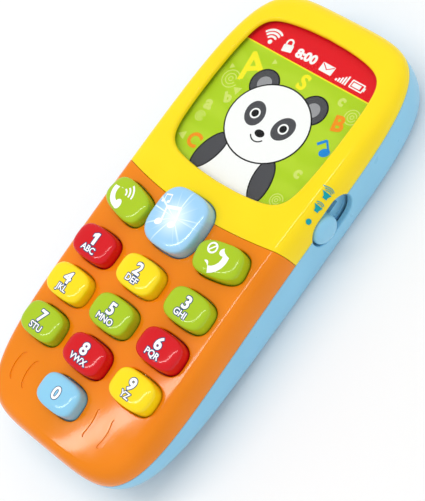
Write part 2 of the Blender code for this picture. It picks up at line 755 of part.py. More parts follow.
def build_board():
    """The main board and the parts soldered to it."""
    low = BOARD_TOP - BOARD_THICK
    board_shape("main_board", low, BOARD_TOP, BOARD_EDGE, material("circuit_board", BOARD_GREEN, 0.5))
    shape = ((1.0, 0.0), (1.0, 4.2), (0.85, 5.6), (0.45, 6.5))
    rings = [ring(circle(LED_RADIUS * scale), z) for scale, z in shape]
    lamp = loft("led", rings, material("led_lens", WHITE, 0.1), (None, (0.0, 0.0, 6.7)))
    place(lamp, LIGHT_AT[0], LIGHT_AT[1], BOARD_TOP + GAP)
    epoxy = material("black_epoxy", (0.02, 0.02, 0.02), 0.3)
    rings = [ring(circle(radius), z) for radius, z in ((5.5, 0.0), (5.2, 0.7), (3.2, 1.4))]
    chip = loft("chip_blob", rings, epoxy, (None, (0.0, 0.0, 1.6)))
    chip.rotation_euler = (math.pi, 0.0, 0.0)
    place(chip, 17.0, -16.0, low - GAP)
    sleeve = material("capacitor_can", (0.08, 0.1, 0.25), 0.35)
    can = cylinder("capacitor", 0.0, 0.0, 2.5, -6.5, 0.0, sleeve)
    place(can, -18.0, -12.0, low - GAP)


def build_speaker():
    """The speaker: basket, paper cone and magnet."""
    seat = SPEAKER_SEAT
    steel = material("speaker_steel", (0.55, 0.55, 0.56), 0.4, 1.0)
    outer = [(SPEAKER_RADIUS, 0.0), (SPEAKER_RADIUS, 1.2), (9.4, 3.9), (7.2, 3.9)]
    inner = [(7.2, 3.1), (8.8, 3.1), (SPEAKER_RADIUS - 1.0, 0.9), (SPEAKER_RADIUS - 1.0, 0.0)]
    basket = turned("speaker_frame", outer + inner, steel)
    place(basket, 0.0, SPEAKER_Y, seat)
    profile = [(11.9, 0.3), (11.9, 0.7), (10.9, 0.9), (8.4, 2.8)]
    profile += [(0.0, 2.8), (0.0, 2.2), (8.0, 2.2), (10.6, 0.5)]
    made = turned("speaker_cone", profile, material("speaker_paper", (0.05, 0.05, 0.05), 0.8))
    place(made, 0.0, SPEAKER_Y, seat)
    plated = material("magnet", (0.3, 0.3, 0.31), 0.35, 1.0)
    magnet = cylinder("speaker_magnet", 0.0, 0.0, 6.9, 3.1 + GAP, 7.2, plated, 24)
    place(magnet, 0.0, SPEAKER_Y, seat)


def turned(name, profile, finish, count=20):
    """A solid of revolution about Z from a closed profile of radius and height, anticlockwise."""
    points = []
    index = []
    for radius, z in profile:
        if radius <= 0.0:
            points.append((0.0, 0.0, z))
            index.append([len(points) - 1] * count)
            continue
        index.append([])
        for x, y in circle(radius, count):
            points.append((x, y, z))
            index[-1].append(len(points) - 1)
    faces = []
    for k in range(len(profile)):
        a, b = index[k], index[(k + 1) % len(profile)]
        for i in range(count):
            j = (i + 1) % count
            corners = []
            for corner in (a[i], a[j], b[j], b[i]):
                if corner not in corners:
                    corners.append(corner)
            if len(corners) > 2:
                faces.append(tuple(corners))
    return mesh_object(name, points, faces, finish)


def build_knob():
    """The volume knob, with its neck, the plate behind the wall and two prongs round the switch."""
    base_x = POCKET_FLOOR_X + GAP
    deep = KNOB_OUT_X - base_x
    outline = cushion(KNOB_HALF, KEY_POINTS, exponent=2.0, bulge=(0.0, 0.0))
    rings = [[(rise * deep, y * scale, z * scale) for y, z in outline] for scale, rise in KNOB_DOME]
    knob = loft("volume_knob", rings, material("knob_blue", BLUE, 0.25), (None, (deep, 0.0, 0.0)))
    back = NECK_BACK_X - base_x
    run, rise = NECK_HALF
    combine(knob, block("neck", (back, -run, -rise), (0.5, run, rise)), "UNION")
    run, rise = PLATE_HALF
    combine(knob, block("plate", (back - 1.3, -run, -rise), (back, run, rise)), "UNION")
    for y in (-1.85, 1.85):
        prong = block("prong", (back - 3.7, y - 0.5, -1.2), (back - 0.5, y + 0.5, 1.2))
        combine(knob, prong, "UNION")
    place(knob, base_x, KNOB_Y, POCKET_MIDDLE[1])


def build_switch():
    """The slide switch on its own small board."""
    z = POCKET_MIDDLE[1]
    nylon = material("black_nylon", (0.03, 0.03, 0.03), 0.4)
    nub = block("slide_switch_actuator", (-6.0, -1.0, -0.9), (-1.9, 1.0, 0.9), nylon)
    place(nub, NECK_BACK_X, KNOB_Y, z)
    middle = KNOB_Y + KNOB_TRAVEL / 2.0
    steel = material("switch_steel", (0.7, 0.7, 0.7), 0.3, 1.0)
    can = block("slide_switch_body", (-9.4, -7.4, -2.4), (-4.4, 7.4, 2.4), steel)
    combine(can, block("slot", (-7.4, -5.2, -1.2), (-3.0, 5.2, 1.2)))
    place(can, NECK_BACK_X, middle, z)
    green = material("circuit_board", BOARD_GREEN, 0.5)
    board = block("switch_board", (-9.8, -9.0, -3.9), (-1.8, 9.0, -2.7), green)
    place(board, NECK_BACK_X, middle, z)


# --- batteries and door --------------------------------------------------------------------------

def build_cells():
    """Two AAA cells, nose to tail."""
    finish = material("cell_label", (0.12, 0.13, 0.15), 0.35)
    length, radius = CELL_LENGTH, CELL_RADIUS
    profile = [(radius - 0.5, 0.0), (radius, 0.4), (radius, length - 0.4), (radius - 0.5, length)]
    profile += [(NUB_RADIUS, length), (NUB_RADIUS, length + NUB_LENGTH)]
    for name, side, start in (("battery_a", -1.0, 18.6), ("battery_b", 1.0, 59.2)):
        rings = [ring(circle(wide), height) for wide, height in profile]
        cell = laid_down(loft(name, rings, finish))
        if side > 0:
            cell.data.transform(Matrix.Rotation(math.pi, 4, "Z"))
        place(cell, side * CELL_X, start, CELL_Z)


def spring(name, x, low, high, finish):
    """A conical spring along Y, at a cell's minus end."""
    route = []
    for t in np.linspace(0.0, 1.0, 30):
        radius = SPRING_WIDE + (SPRING_NARROW - SPRING_WIDE) * t
        a = 2.0 * math.pi * SPRING_TURNS * t
        route.append((x + radius * math.cos(a), low + (high - low) * t, CELL_Z + radius * math.sin(a)))
    tube(name, route, 0.3, finish, points=40)


def build_contacts():
    """The plates, the bridge and the springs that join the cells."""
    nickel = material("nickel", (0.75, 0.74, 0.7), 0.25, 1.0)
    low, high = CONTACT_Z
    near = BAY_Y[0] + GAP
    for name, x0, x1 in (("contact_plate_minus", -10.2, -0.8), ("contact_plate_plus", 0.8, 10.2)):
        plate = block(name, (x0, near, low), (x1, near + CONTACT_THICK, high), nickel)
        centre = (x0 + x1) / 2.0
        tail = block("tail", (centre - 1.1, near, high - 0.6), (centre + 1.1, near + CONTACT_THICK, 15.4))
        combine(plate, tail, "UNION")
    far = BAY_Y[1] - GAP
    block("contact_bridge", (-10.2, far - CONTACT_THICK, low), (10.2, far, high), nickel)
    spring("contact_spring_a", -CELL_X, BAY_Y[0] + 1.3, 18.0, nickel)
    spring("contact_spring_b", CELL_X, BAY_Y[1] - 1.3, 59.8, nickel)


def build_door():
    """The battery door: its rounded hinge end, two tabs, a collar for the screw, and the captive screw."""
    blue = material("blue_plastic", BLUE, 0.3)
    hx, hy, hz = HINGE
    radius = (DOOR_Z[1] - DOOR_Z[0]) / 2.0
    end = DOOR_Y[1] - hy
    profile = [(end, -radius), (end, radius)]
    for step in range(5):
        a = math.radians(90.0 + 180.0 * step / 4)
        profile.append((radius * math.cos(a), radius * math.sin(a)))
    low = [(-DOOR_HALF_X, y, z) for y, z in profile]
    high = [(DOOR_HALF_X, y, z) for y, z in profile]
    door = loft("battery_door", [low, high], blue)
    outline = [(x, y - hy) for x, y in door_plan()]
    combine(door, extrude("corners", outline, -5.0, 5.0), "INTERSECT")
    for side in (-1.0, 1.0):
        x = side * TAB_X
        combine(door, block("root", (x - TAB_HALF, 0.3, 0.4), (x + TAB_HALF, 1.6, 2.5)), "UNION")
        combine(door, block("tab", (x - TAB_HALF, -2.6, 1.5), (x + TAB_HALF, 1.6, 2.5)), "UNION")
    collar_y = DOOR_SCREW_Y - hy
    combine(door, cylinder("collar", 0.0, collar_y, 3.7, 0.0, 3.7 - hz, count=16), "UNION")
    combine(door, cylinder("head_recess", 0.0, collar_y, 2.8, -3.0, 2.1 - hz, count=16))
    combine(door, cylinder("screw_hole", 0.0, collar_y, 1.6, -3.0, 5.0, count=16))
    for i in range(GRIP_COUNT):
        y = GRIP_FROM + GRIP_PITCH * i
        combine(door, block("grip", (-GRIP_HALF, y - 0.5, -3.0), (GRIP_HALF, y + 0.5, -radius + 0.5)))
    place(door, hx, hy, hz)
    screw("door_screw", 0.0, DOOR_SCREW_Y, 0.6, 1.8, 2.4, 1.15, 8.2)


def screw(name, x, y, low, seat, head, radius, tip):
    """A cross-head screw that points up, with its origin on its axis at the head's outer face."""
    steel = material("screw_steel", (0.62, 0.62, 0.64), 0.3, 1.0)
    sides = 10
    heights = [(head * 0.86, 0.0), (head, 0.35), (head, seat - low), (radius, seat - low)]
    heights += [(radius, tip - low - 1.2), (0.35, tip - low)]
    made = loft(name, [ring(circle(r, sides), z) for r, z in heights], steel)
    for turn in (0.0, 90.0):
        bar = block("cross", (-head * 0.6, -0.3, -1.0), (head * 0.6, 0.3, 0.7))
        bar.data.transform(Matrix.Rotation(math.radians(turn), 4, "Z"))
        combine(made, bar)
    return place(made, x, y, low)


def build_case_screws():
    """Six screws, from the back, up into the front covers' bosses."""
    seat = HEAD_SEAT - GAP
    for i, (x, y) in enumerate(SCREW_PLACES):
        screw(f"case_screw_{i}", x, y, seat - HEAD_THICK, seat, HEAD_RADIUS, SCREW_RADIUS, SCREW_TIP)


def build_wires():
    """The wires between the bay, the speaker, the switch and the main board."""
    red = material("wire_red", (0.7, 0.02, 0.02), 0.4)
    black = material("wire_black", (0.02, 0.02, 0.02), 0.4)
    under = BOARD_TOP - BOARD_THICK - 0.9
    for name, x, finish in (("battery_wire_black", -CELL_X, black), ("battery_wire_red", CELL_X, red)):
        route = [(x, BAY_Y[0] - 0.3, 15.6), (x, 10.4, 15.9), (x * 1.1, 7.5, 15.3), (x * 1.2, 4.0, under)]
        tube(name, route, 0.55, finish)
    for name, x, finish in (("speaker_wire_black", -1.2, black), ("speaker_wire_red", 1.2, red)):
        route = [(x * 3.0, SPEAKER_Y + 9.6, 12.1), (x * 4.0, SPEAKER_Y + 14.0, 12.9)]
        route += [(x * 3.0, SPEAKER_Y + 19.0, 14.5), (x * 2.0, SPEAKER_Y + 23.0, under)]
        tube(name, route, 0.55, finish)
    route = [(22.6, 21.6, 10.9), (19.0, 17.0, 11.0), (18.0, 10.5, 12.6), (18.6, 5.0, under)]
    tube("switch_wire", route, 0.7, material("wire_grey", (0.4, 0.4, 0.42), 0.4))


def main():
    """Clear the scene and build every piece."""
    for item in list(bpy.data.objects):
        bpy.data.objects.remove(item, do_unlink=True)
    build_lower_cover()
    build_upper_cover()
    build_back_cover()
    build_screen()
    build_keys()
    build_board()
    build_membrane()
    build_speaker()
    build_knob()
    build_switch()
    build_cells()
    build_contacts()
    build_door()
    build_case_screws()
    build_wires()


main()
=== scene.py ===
"""Looks of the toy cell phone: smooth shells, keys, prints and finishes round its fixed frame.

Lengths are in millimetres in the frame's own axes, and make() turns them into metres. +X is the phone's right
side, +Y its screen end and +Z out of its face. A flat shape is a list of loops, filled even and odd.
"""

import json
import math

import bmesh
import bpy
import numpy as np
from mathutils import Matrix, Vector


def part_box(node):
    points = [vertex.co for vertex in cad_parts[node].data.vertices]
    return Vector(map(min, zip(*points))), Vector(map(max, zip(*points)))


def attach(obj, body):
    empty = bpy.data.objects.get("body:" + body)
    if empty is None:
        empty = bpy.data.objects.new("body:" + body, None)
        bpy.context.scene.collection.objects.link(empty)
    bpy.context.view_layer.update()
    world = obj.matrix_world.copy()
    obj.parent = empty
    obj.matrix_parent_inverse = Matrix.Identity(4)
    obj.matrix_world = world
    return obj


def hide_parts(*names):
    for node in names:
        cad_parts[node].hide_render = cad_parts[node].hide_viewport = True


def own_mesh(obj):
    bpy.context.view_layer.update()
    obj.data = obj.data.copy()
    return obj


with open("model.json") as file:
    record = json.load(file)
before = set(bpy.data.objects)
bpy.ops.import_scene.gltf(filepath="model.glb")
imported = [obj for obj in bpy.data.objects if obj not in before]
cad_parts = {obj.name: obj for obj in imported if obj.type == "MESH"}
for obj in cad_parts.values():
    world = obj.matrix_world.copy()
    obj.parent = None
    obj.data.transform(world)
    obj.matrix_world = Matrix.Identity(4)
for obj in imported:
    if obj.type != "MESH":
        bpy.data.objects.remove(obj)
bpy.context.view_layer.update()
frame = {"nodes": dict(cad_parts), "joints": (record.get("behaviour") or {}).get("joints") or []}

MM = 0.001
GAP = 0.3
BEYOND = 100.0

# Case outline and section, as in the frame
HALF_WIDTH = 35.6
TOP_LENGTH = 84.8
BOTTOM_LENGTH = 82.5
TOP_EXPONENT = 4.8
BOTTOM_EXPONENT = 4.9
BARREL = 0.06
PARTING_Z = 18.0
WALL = 2.0
FACE_HEIGHT = 12.0
FACE_SLOPE = 0.0173
FACE_CROWN = 1.77
FACE_CROWN_AT = 48.0
FACE_SAG = 0.76
FRONT_EDGE = 4.5
BACK_EDGE = 4.7
EDGE_EXPONENT = 2.4
TAIL_LIFT = 3.8
TAIL_LIFT_FROM = 2.0
TAIL_LIFT_RUN = 50.0
TAIL_LIFT_POWER = 1.5
BACK_TRIM = 0.2
OUTLINE_POINTS = 288
EDGE_STEPS = 15
RIM_ROUND = 0.35
TONGUE = (2.5, 3.5)
TONGUE_TOP = PARTING_Z + 0.9
TONGUE_FOOT = PARTING_Z - 2.5

# Seam between the two front covers
SEAM_MIDDLE_Y = 5.0
SEAM_RISE = 4.0
SEAM_ROUND = 0.2
SEAM_GAP = 0.12
SEAM_DEPTH = 3.2

# Keys
COLUMN_PITCH = 21.3
KEY_HALF = (8.1, 5.65)
CALL_HALF = (8.7, 5.75)
LIGHT_HALF = (9.75, 10.25)
CALL_TURN = math.radians(12.0)
KEY_POINTS = 96
KEY_DOME = 2.4
KEY_DOME_EXPONENT = 3.6
KEY_DOME_STEPS = (0.0, 0.12, 0.24, 0.35, 0.45, 0.54, 0.62, 0.69, 0.75, 0.8, 0.85, 0.89, 0.93, 0.96, 0.98, 0.992)
FLANGE = 0.8
FLANGE_THICK = 1.2
POST_RADIUS = 2.4
LAMP_WELL_RADIUS = 3.7
LAMP_WELL_ROOF = 3.2
HOLE_ROUND = 0.5
KEY_PAINT = {
    "key_0": "blue", "key_1": "red", "key_2": "yellow", "key_3": "green", "key_4": "yellow",
    "key_5": "green", "key_6": "red", "key_7": "green", "key_8": "red", "key_9": "yellow",
    "call_key": "green", "end_call_key": "green",
}
LEGENDS = {1: "ABC", 2: "DEF", 3: "GHI", 4: "JKL", 5: "MNO", 6: "PQR", 7: "STU", 8: "VWX", 9: "YZ"}

# Rubber keypad membrane: a mat, and a hollow dome under every key
MAT_LOW = 18.1
MAT_TOP = 19.1
MAT_EDGE = 6.2
MAT_END_Y = 9.0
LAMP_Y = -0.2
LAMP_HOLE = 3.0
DOME_TOP = 22.6
DOME_ROOF = 1.2
DOME_RADII = (3.9, 2.6)
HOLLOW_RADII = (3.2, 1.8)
LIGHT_DOME_Y = -7.4

# Finger grooves: middle x and sideways bow
GROOVES = ((-22.4, -1.2), (-16.2, -1.2), (13.5, 0.8), (20.0, 1.0))
GROOVE_Y = -66.5
GROOVE_LENGTH = 10.0
GROOVE_WIDTH = 1.8
GROOVE_DEPTH = 0.35

# Screen
SCREEN_MIDDLE_Y = 46.2
SCREEN_HALF = (27.5, 28.9)
SCREEN_Z = PARTING_Z + 6.5
SCREEN_TILT = math.atan(0.086)
WINDOW_LAP = 1.5
SCREEN_ROUND = 1.3
CARD_TOP = -1.5
CARD_MARGIN = 0.4
BAR_FROM = 63.6

# Volume slider
POCKET_MIDDLE = (27.1, 15.8)
POCKET_HALF_LENGTH = 9.4
POCKET_RADIUS = 5.9
POCKET_FLOOR_X = 32.0
POCKET_FRONT_X = 30.0
POCKET_WALL = 1.4
POCKET_ROUND = 0.5
KNOB_HALF = (5.0, 5.3)
MARKS_Z = 25.2

# Hooks that hold the screen cover's top end in the back: middle x, half width, and y and z of root and leg
HOOK_X = 14.0
HOOK_HALF = 3.0
HOOK_ROOT = ((79.0, 83.5), (20.2, 21.4))
HOOK_LEG = ((79.0, 80.3), (13.6, 21.0))

# Screws, speaker and battery door, on the back
LOWER_SCREWS = ((-10.65, -28.2), (10.65, -28.2), (-10.65, -58.1), (10.65, -58.1))
UPPER_SCREWS = ((-24.0, 12.6), (24.0, 12.6))
SCREW_PLACES = LOWER_SCREWS + UPPER_SCREWS
BOSS_RADIUS = 2.4
TUBE_RADIUS = 3.3
TUBE_TOP = 14.0
HEAD_SEAT = 9.0
HEAD_RADIUS = 2.2
SCREW_RADIUS = 1.05
CLEARANCE = 0.4
SCREW_TIP = 19.6
SPEAKER_Y = -43.1
SPEAKER_RADIUS = 13.4
SPEAKER_SEAT = 7.4
GRILLE_RINGS = ((6, 4.4), (12, 8.8))
GRILLE_HOLE = 1.1
DOOR_Y = (10.5, 73.0)
DOOR_HALF_X = 14.0
DOOR_CORNER = 2.2
DOOR_SEAT = 2.3
FRAME_LOW = 0.6
FRAME_TOP = 3.8
BAY_Y = (13.6, 64.4)
BAY_HALF_X = 11.1
BAY_ROOF = 13.3
BAY_WALL = 1.4
CELL_X = 5.5
TAB_X = 7.6
TAB_HALF = 2.6
DOOR_SCREW_Y = 68.2
CUP_RADIUS = 5.8
CUP_TOP = 9.6

# Colours, linear
YELLOW = (1.0, 0.73, 0.006)
ORANGE = (0.86, 0.232, 0.001)
BLUE = (0.27, 0.61, 0.84)
LIME = (0.400, 0.580, 0.012)
RED = (0.66, 0.002, 0.008)
INKS = {
    "white": (0.97, 0.97, 0.97), "navy": (0.004, 0.050, 0.17), "teal": (0.008, 0.36, 0.40),
    "black": (0.006, 0.006, 0.007), "charcoal": (0.075, 0.075, 0.085), "grey": (0.33, 0.33, 0.35),
    "red": (0.80, 0.004, 0.012), "lemon": (0.95, 0.86, 0.02), "pale": (0.66, 0.78, 0.16),
    "tangerine": (0.92, 0.30, 0.01), "blue": (0.01, 0.25, 0.72),
}

# Lettering of size 1: the height of a capital, and a plain figure one
CAPITAL = 0.69
ONE = ((0.0, 0.0), (0.15, 0.0), (0.15, 0.69), (0.02, 0.69), (-0.16, 0.56), (-0.16, 0.42), (0.0, 0.52))

# Light, and the camera's turns in degrees
ROOM_LIGHT = 0.81
STRIP_PLACE = (-150.0, -55.0, 800.0)
STRIP_SIZE = (970.0, 46.0)
STRIP_TURN = math.radians(42.8)
STRIP_RADIANCE = 17.0
CAMERA_TURN = (33.67, -2.44, -35.16)
CAMERA_DISTANCE = 510.2
CAMERA_OFFSET = (-4.29, 4.224)
CAMERA_LENS = 115.1


# --- materials -----------------------------------------------------------------------------------

def add_node(tree, kind, *given, out=0, **values):
    """Add a shader node, set or feed its inputs, in order or by name, and return one of its outputs."""
    made = tree.nodes.new(kind)
    inputs = dict(enumerate(given))
    for key, value in values.items():
        if key in made.inputs:
            inputs[key] = value
        else:
            setattr(made, key, value)
    feed(made, inputs)
    return made.outputs[out]


def feed(node, inputs):
    """Set a node's inputs, each to a value or from another node's output."""
    for key, value in inputs.items():
        if isinstance(value, bpy.types.NodeSocket):
            node.id_data.links.new(value, node.inputs[key])
        else:
            node.inputs[key].default_value = value


class Finish:
    """A material being made: a Principled shader whose colour, roughness and bump come from nodes."""

    def __init__(self, name, color, roughness, metallic=0.0):
        self.made = bpy.data.materials.new(name)
        self.made.use_nodes = True
        self.shader = self.made.node_tree.nodes["Principled BSDF"]
        self.color = color
        self.roughness = roughness
        self.where = self.add("TexCoord", out="Object")
        self.set({"Base Color": (*color, 1.0), "Roughness": roughness, "Metallic": metallic, "IOR": 1.46})

    def add(self, kind, *given, **values):
        """Add a shader node and return its output."""
        return add_node(self.made.node_tree, f"ShaderNode{kind}", *given, **values)

    def set(self, inputs):
        """Set or feed the shader's own inputs."""
        feed(self.shader, inputs)
        return self

    def noise(self, size, detail=2.0, where=None):
        """Noise with features about size millimetres wide."""
        return self.add("TexNoise", where or self.where, Scale=1.0 / (size * MM), Detail=detail, out="Fac")

    def spread(self, factor, low, high, start=0.25, end=0.75):
        """Map a factor from one range, at first that of noise, to another."""
        return self.add("MapRange", factor, start, end, low, high)

    def blend(self, factor, *colours):
        """Mix two colours, each given as a colour or as an output."""
        first, second = [(*value, 1.0) if isinstance(value, tuple) else value for value in colours]
        mixed = self.add("Mix", factor, data_type="RGBA", out=2)
        feed(mixed.node, {6: first, 7: second})
        return mixed

    def mottle(self, size, amount):
        """Vary the colour a little, lighter and darker."""
        light = tuple(min(1.0, c * (1.0 + amount) + 0.004) for c in self.color)
        dark = tuple(c * (1.0 - amount) for c in self.color)
        fac = self.spread(self.noise(size, 1.0), 0.0, 1.0)
        return self.set({"Base Color": self.blend(fac, dark, light)})

    def uneven(self, size, amount):
        """Vary the roughness."""
        low = max(0.02, self.roughness - amount)
        return self.set({"Roughness": self.spread(self.noise(size, 2.0), low, self.roughness + amount)})

    def bump(self, factor, depth):
        """Raise the surface by up to depth millimetres where a factor is high."""
        return self.set({"Normal": self.add("Bump", Strength=1.0, Distance=depth * MM, Height=factor)})


def gloss_plastic(name, color, roughness=0.11, coat=0.15, shine=0.2):
    """Moulded ABS: even colour, faint flow mottling, a little orange peel."""
    finish = Finish(name, color, roughness)
    finish.mottle(18.0, 0.03).uneven(6.0, 0.03)
    finish.bump(finish.noise(2.4), 0.004)
    finish.set({
        "Specular IOR Level": shine, "Coat Weight": coat, "Coat Roughness": 0.05, "Subsurface Weight": 0.06,
        "Subsurface Radius": (0.002, 0.0012, 0.0006), "Subsurface Scale": 1.0,
    })
    return finish.made


def ink(name, color):
    """Printed ink, with the faint dots and thin places of pad printing."""
    finish = Finish(f"ink_{name}", color, 0.32).set({"Specular IOR Level": 0.12})
    finish.mottle(0.5, 0.03).uneven(0.6, 0.06)
    finish.bump(finish.noise(0.35), 0.002)
    return finish.made


def rubber(name, color):
    """Matte silicone with a fine grain."""
    finish = Finish(name, color, 0.62)
    finish.mottle(7.0, 0.06).uneven(2.0, 0.08)
    finish.bump(finish.noise(0.25, 4.0), 0.01)
    return finish.made


def metal(name, color, roughness=0.3):
    """Metal with a grain drawn along Y, and dull patches."""
    finish = Finish(name, color, roughness, metallic=1.0)
    stretched = finish.add("Mapping", finish.where, Scale=(1.0 / 0.15, 1.0 / 8.0, 1.0 / 0.15))
    finish.mottle(4.0, 0.08).uneven(1.5, 0.08)
    finish.bump(finish.noise(1.0, 3.0, stretched), 0.004)
    return finish.made


def circuit_board():
    """Solder mask over copper: raised, lighter tracks and round pads."""
    mask, copper, tin = (0.010, 0.16, 0.05), (0.03, 0.30, 0.10), (0.55, 0.56, 0.55)
    finish = Finish("circuit_board", mask, 0.32)
    tracks = finish.add("TexBrick", finish.where, Scale=1.0 / (9.0 * MM), out="Fac", **{"Mortar Size": 0.05})
    pads = finish.add("TexVoronoi", finish.where, Scale=1.0 / (4.5 * MM), out="Distance")
    dot = finish.add("Math", pads, 0.16, operation="LESS_THAN")
    finish.set({"Base Color": finish.blend(dot, finish.blend(tracks, mask, copper), tin)})
    return finish.uneven(2.0, 0.05).bump(tracks, 0.03).made


def cell_label():
    """A battery's printed sleeve: dark, with a bright band towards one end."""
    dark, bright = (0.02, 0.022, 0.03), (0.55, 0.25, 0.04)
    finish = Finish("cell_label", dark, 0.3)
    along = finish.add("SeparateXYZ", finish.where, out="Y")
    band = finish.add("Math", along, 24.0 * MM, operation="PINGPONG")
    edge = finish.add("Math", band, 15.0 * MM, operation="GREATER_THAN")
    finish.set({"Base Color": finish.blend(edge, dark, bright)})
    return finish.uneven(3.0, 0.06).bump(finish.noise(0.8), 0.006).made


def card_print():
    """The picture card's ground: lime with faint, lighter swirls."""
    finish = Finish("card_print", LIME, 0.45)
    waves = finish.add("TexWave", finish.where, Scale=1.0 / (26.0 * MM), Distortion=6.0, Detail=1.0,
                       wave_type="RINGS", out="Fac")
    swirls = finish.blend(finish.spread(waves, 0.0, 0.35), (0.44, 0.66, 0.010), (0.56, 0.76, 0.040))
    finish.set({"Base Color": swirls, "Specular IOR Level": 0.2})
    return finish.uneven(0.8, 0.05).bump(finish.noise(0.3), 0.003).made


def clear_window():
    """Clear styrene that lets light through to the card and mirrors the room a little."""
    made = bpy.data.materials.new("window_clear")
    made.use_nodes = True
    tree = made.node_tree
    tree.nodes.clear()
    haze = add_node(tree, "ShaderNodeTexNoise", Scale=1.0 / (9.0 * MM), out="Fac")
    dull = add_node(tree, "ShaderNodeMapRange", haze, 0.0, 1.0, 0.02, 0.07)
    through = add_node(tree, "ShaderNodeBsdfTransparent", Color=(0.985, 0.99, 0.985, 1.0))
    mirror = add_node(tree, "ShaderNodeBsdfGlossy", Color=(0.8, 0.8, 0.8, 1.0), Roughness=dull)
    facing = add_node(tree, "ShaderNodeLayerWeight", Blend=0.5, out="Facing")
    steep = add_node(tree, "ShaderNodeMath", facing, 4.0, operation="POWER")
    share = add_node(tree, "ShaderNodeMapRange", steep, 0.0, 1.0, 0.006, 0.5)
    mixed = add_node(tree, "ShaderNodeMixShader", share, through, mirror)
    feed(tree.nodes.new("ShaderNodeOutputMaterial"), {"Surface": mixed})
    return made


def glowing_key(middle):
    """Frosted blue plastic lit from below: a white heart, rays, and blue towards the rim."""
    finish = Finish("light_key_clear", (0.36, 0.63, 0.88), 0.16)
    centre = [value * MM for value in middle]
    centred = finish.add("VectorMath", finish.where, centre, operation="SUBTRACT")
    flat = finish.add("VectorMath", centred, (1.0, 1.0, 0.0), operation="MULTIPLY")
    length = finish.add("VectorMath", flat, operation="LENGTH", out="Value")
    x, y = [finish.add("SeparateXYZ", flat, out=axis) for axis in "XY"]
    angle = finish.add("Math", y, x, operation="ARCTAN2")
    turns = finish.add("Math", angle, 1.9, operation="MULTIPLY")
    rays = finish.add("TexNoise", noise_dimensions="1D", W=turns, Scale=2.6, Detail=1.5, out="Fac")
    sharp = finish.spread(rays, 0.0, 6.0 * MM, 0.56, 0.78)
    near = finish.add("Math", length, sharp, operation="SUBTRACT")
    glow = finish.add("MapRange", near, -1.5 * MM, 8.4 * MM, 1.0, 0.0, interpolation_type="SMOOTHSTEP")
    finish.set({
        "Base Color": finish.blend(glow, (0.33, 0.62, 0.88), (0.80, 0.90, 0.97)),
        "Emission Color": finish.blend(glow, (0.01, 0.03, 0.06), (0.55, 0.72, 0.90)),
        "Emission Strength": 0.26, "Coat Weight": 0.4,
    })
    return finish.uneven(3.0, 0.04).bump(finish.noise(1.5), 0.012).made


# --- meshes --------------------------------------------------------------------------------------

def placed(name, data):
    """A new object in the scene."""
    made = bpy.data.objects.new(name, data)
    bpy.context.scene.collection.objects.link(made)
    return made


def evaluated(item):
    """A mesh with its modifiers applied, or the filled face of a curve or text."""
    bpy.context.view_layer.update()
    graph = bpy.context.evaluated_depsgraph_get()
    return bpy.data.meshes.new_from_object(item.evaluated_get(graph), depsgraph=graph)


def make(name, points, faces, finish=None):
    """Make an object from points in millimetres and faces."""
    mesh = bpy.data.meshes.new(name)
    mesh.from_pydata((np.asarray(points, float) * MM).tolist(), [], faces)
    mesh.validate()
    if finish is not None:
        mesh.materials.append(finish)
    mesh.shade_smooth()
    return placed(name, mesh)


def loft(name, rings, finish=None, caps=(None, None)):
    """Skin equal rings, anticlockwise from above; a cap is a fan to its point, or one flat face."""
    count = len(rings[0])
    points = [tuple(point) for each in rings for point in each]
    faces = []
    for level in range(len(rings) - 1):
        a, b = level * count, (level + 1) * count
        for i in range(count):
            j = (i + 1) % count
            faces.append((a + i, a + j, b + j, b + i))
    last = (len(rings) - 1) * count
    for start, centre, flip in ((0, caps[0], True), (last, caps[1], False)):
        loop = list(range(start, start + count))
        if flip:
            loop.reverse()
        if centre is None:
            faces.append(tuple(loop))
            continue
        points.append(tuple(centre))
        faces.extend((loop[i], loop[(i + 1) % count], len(points) - 1) for i in range(count))
    return make(name, points, faces, finish)


def ring(outline, z):
    """An outline's points at one height, or at the height that a function gives."""
    if callable(z):
        return [(x, y, z(x, y)) for x, y in outline]
    return [(x, y, z) for x, y in outline]


def extrude(name, outline, low, high, finish=None):
    """A prism along Z."""
    return loft(name, [ring(outline, low), ring(outline, high)], finish)


def combine(target, tools, operation="DIFFERENCE"):
    """Apply an exact Boolean with one tool or with several that stay clear of each other."""
    tool = joined(tools if isinstance(tools, list) else [tools])
    modifier = target.modifiers.new("combine", "BOOLEAN")
    modifier.object = tool
    modifier.operation = operation
    modifier.solver = "EXACT"
    made = evaluated(target)
    finish = target.data.materials[0] if target.data.materials else None
    target.modifiers.clear()
    target.data = made
    made.materials.clear()
    if finish is not None:
        made.materials.append(finish)
    bpy.data.objects.remove(tool, do_unlink=True)
    return target


def fuse(target, tools):
    """Add a tool, or several, to a mesh."""
    return combine(target, tools, "UNION")


def joined(items):
    """Put several objects' meshes into the first one."""
    if len(items) == 1:
        return items[0]
    work = bmesh.new()
    for item in items:
        work.from_mesh(item.data)
    work.to_mesh(items[0].data)
    work.free()
    for item in items[1:]:
        bpy.data.objects.remove(item, do_unlink=True)
    return items[0]


def polish(item, angle=32.0, weighted=True):
    """Shade smooth, keep sharp edges sharp, and let large faces set the normals."""
    item.data.shade_smooth()
    item.data.set_sharp_from_angle(angle=math.radians(angle))
    if weighted:
        normals = item.modifiers.new("normals", "WEIGHTED_NORMAL")
        normals.keep_sharp = True
    return item


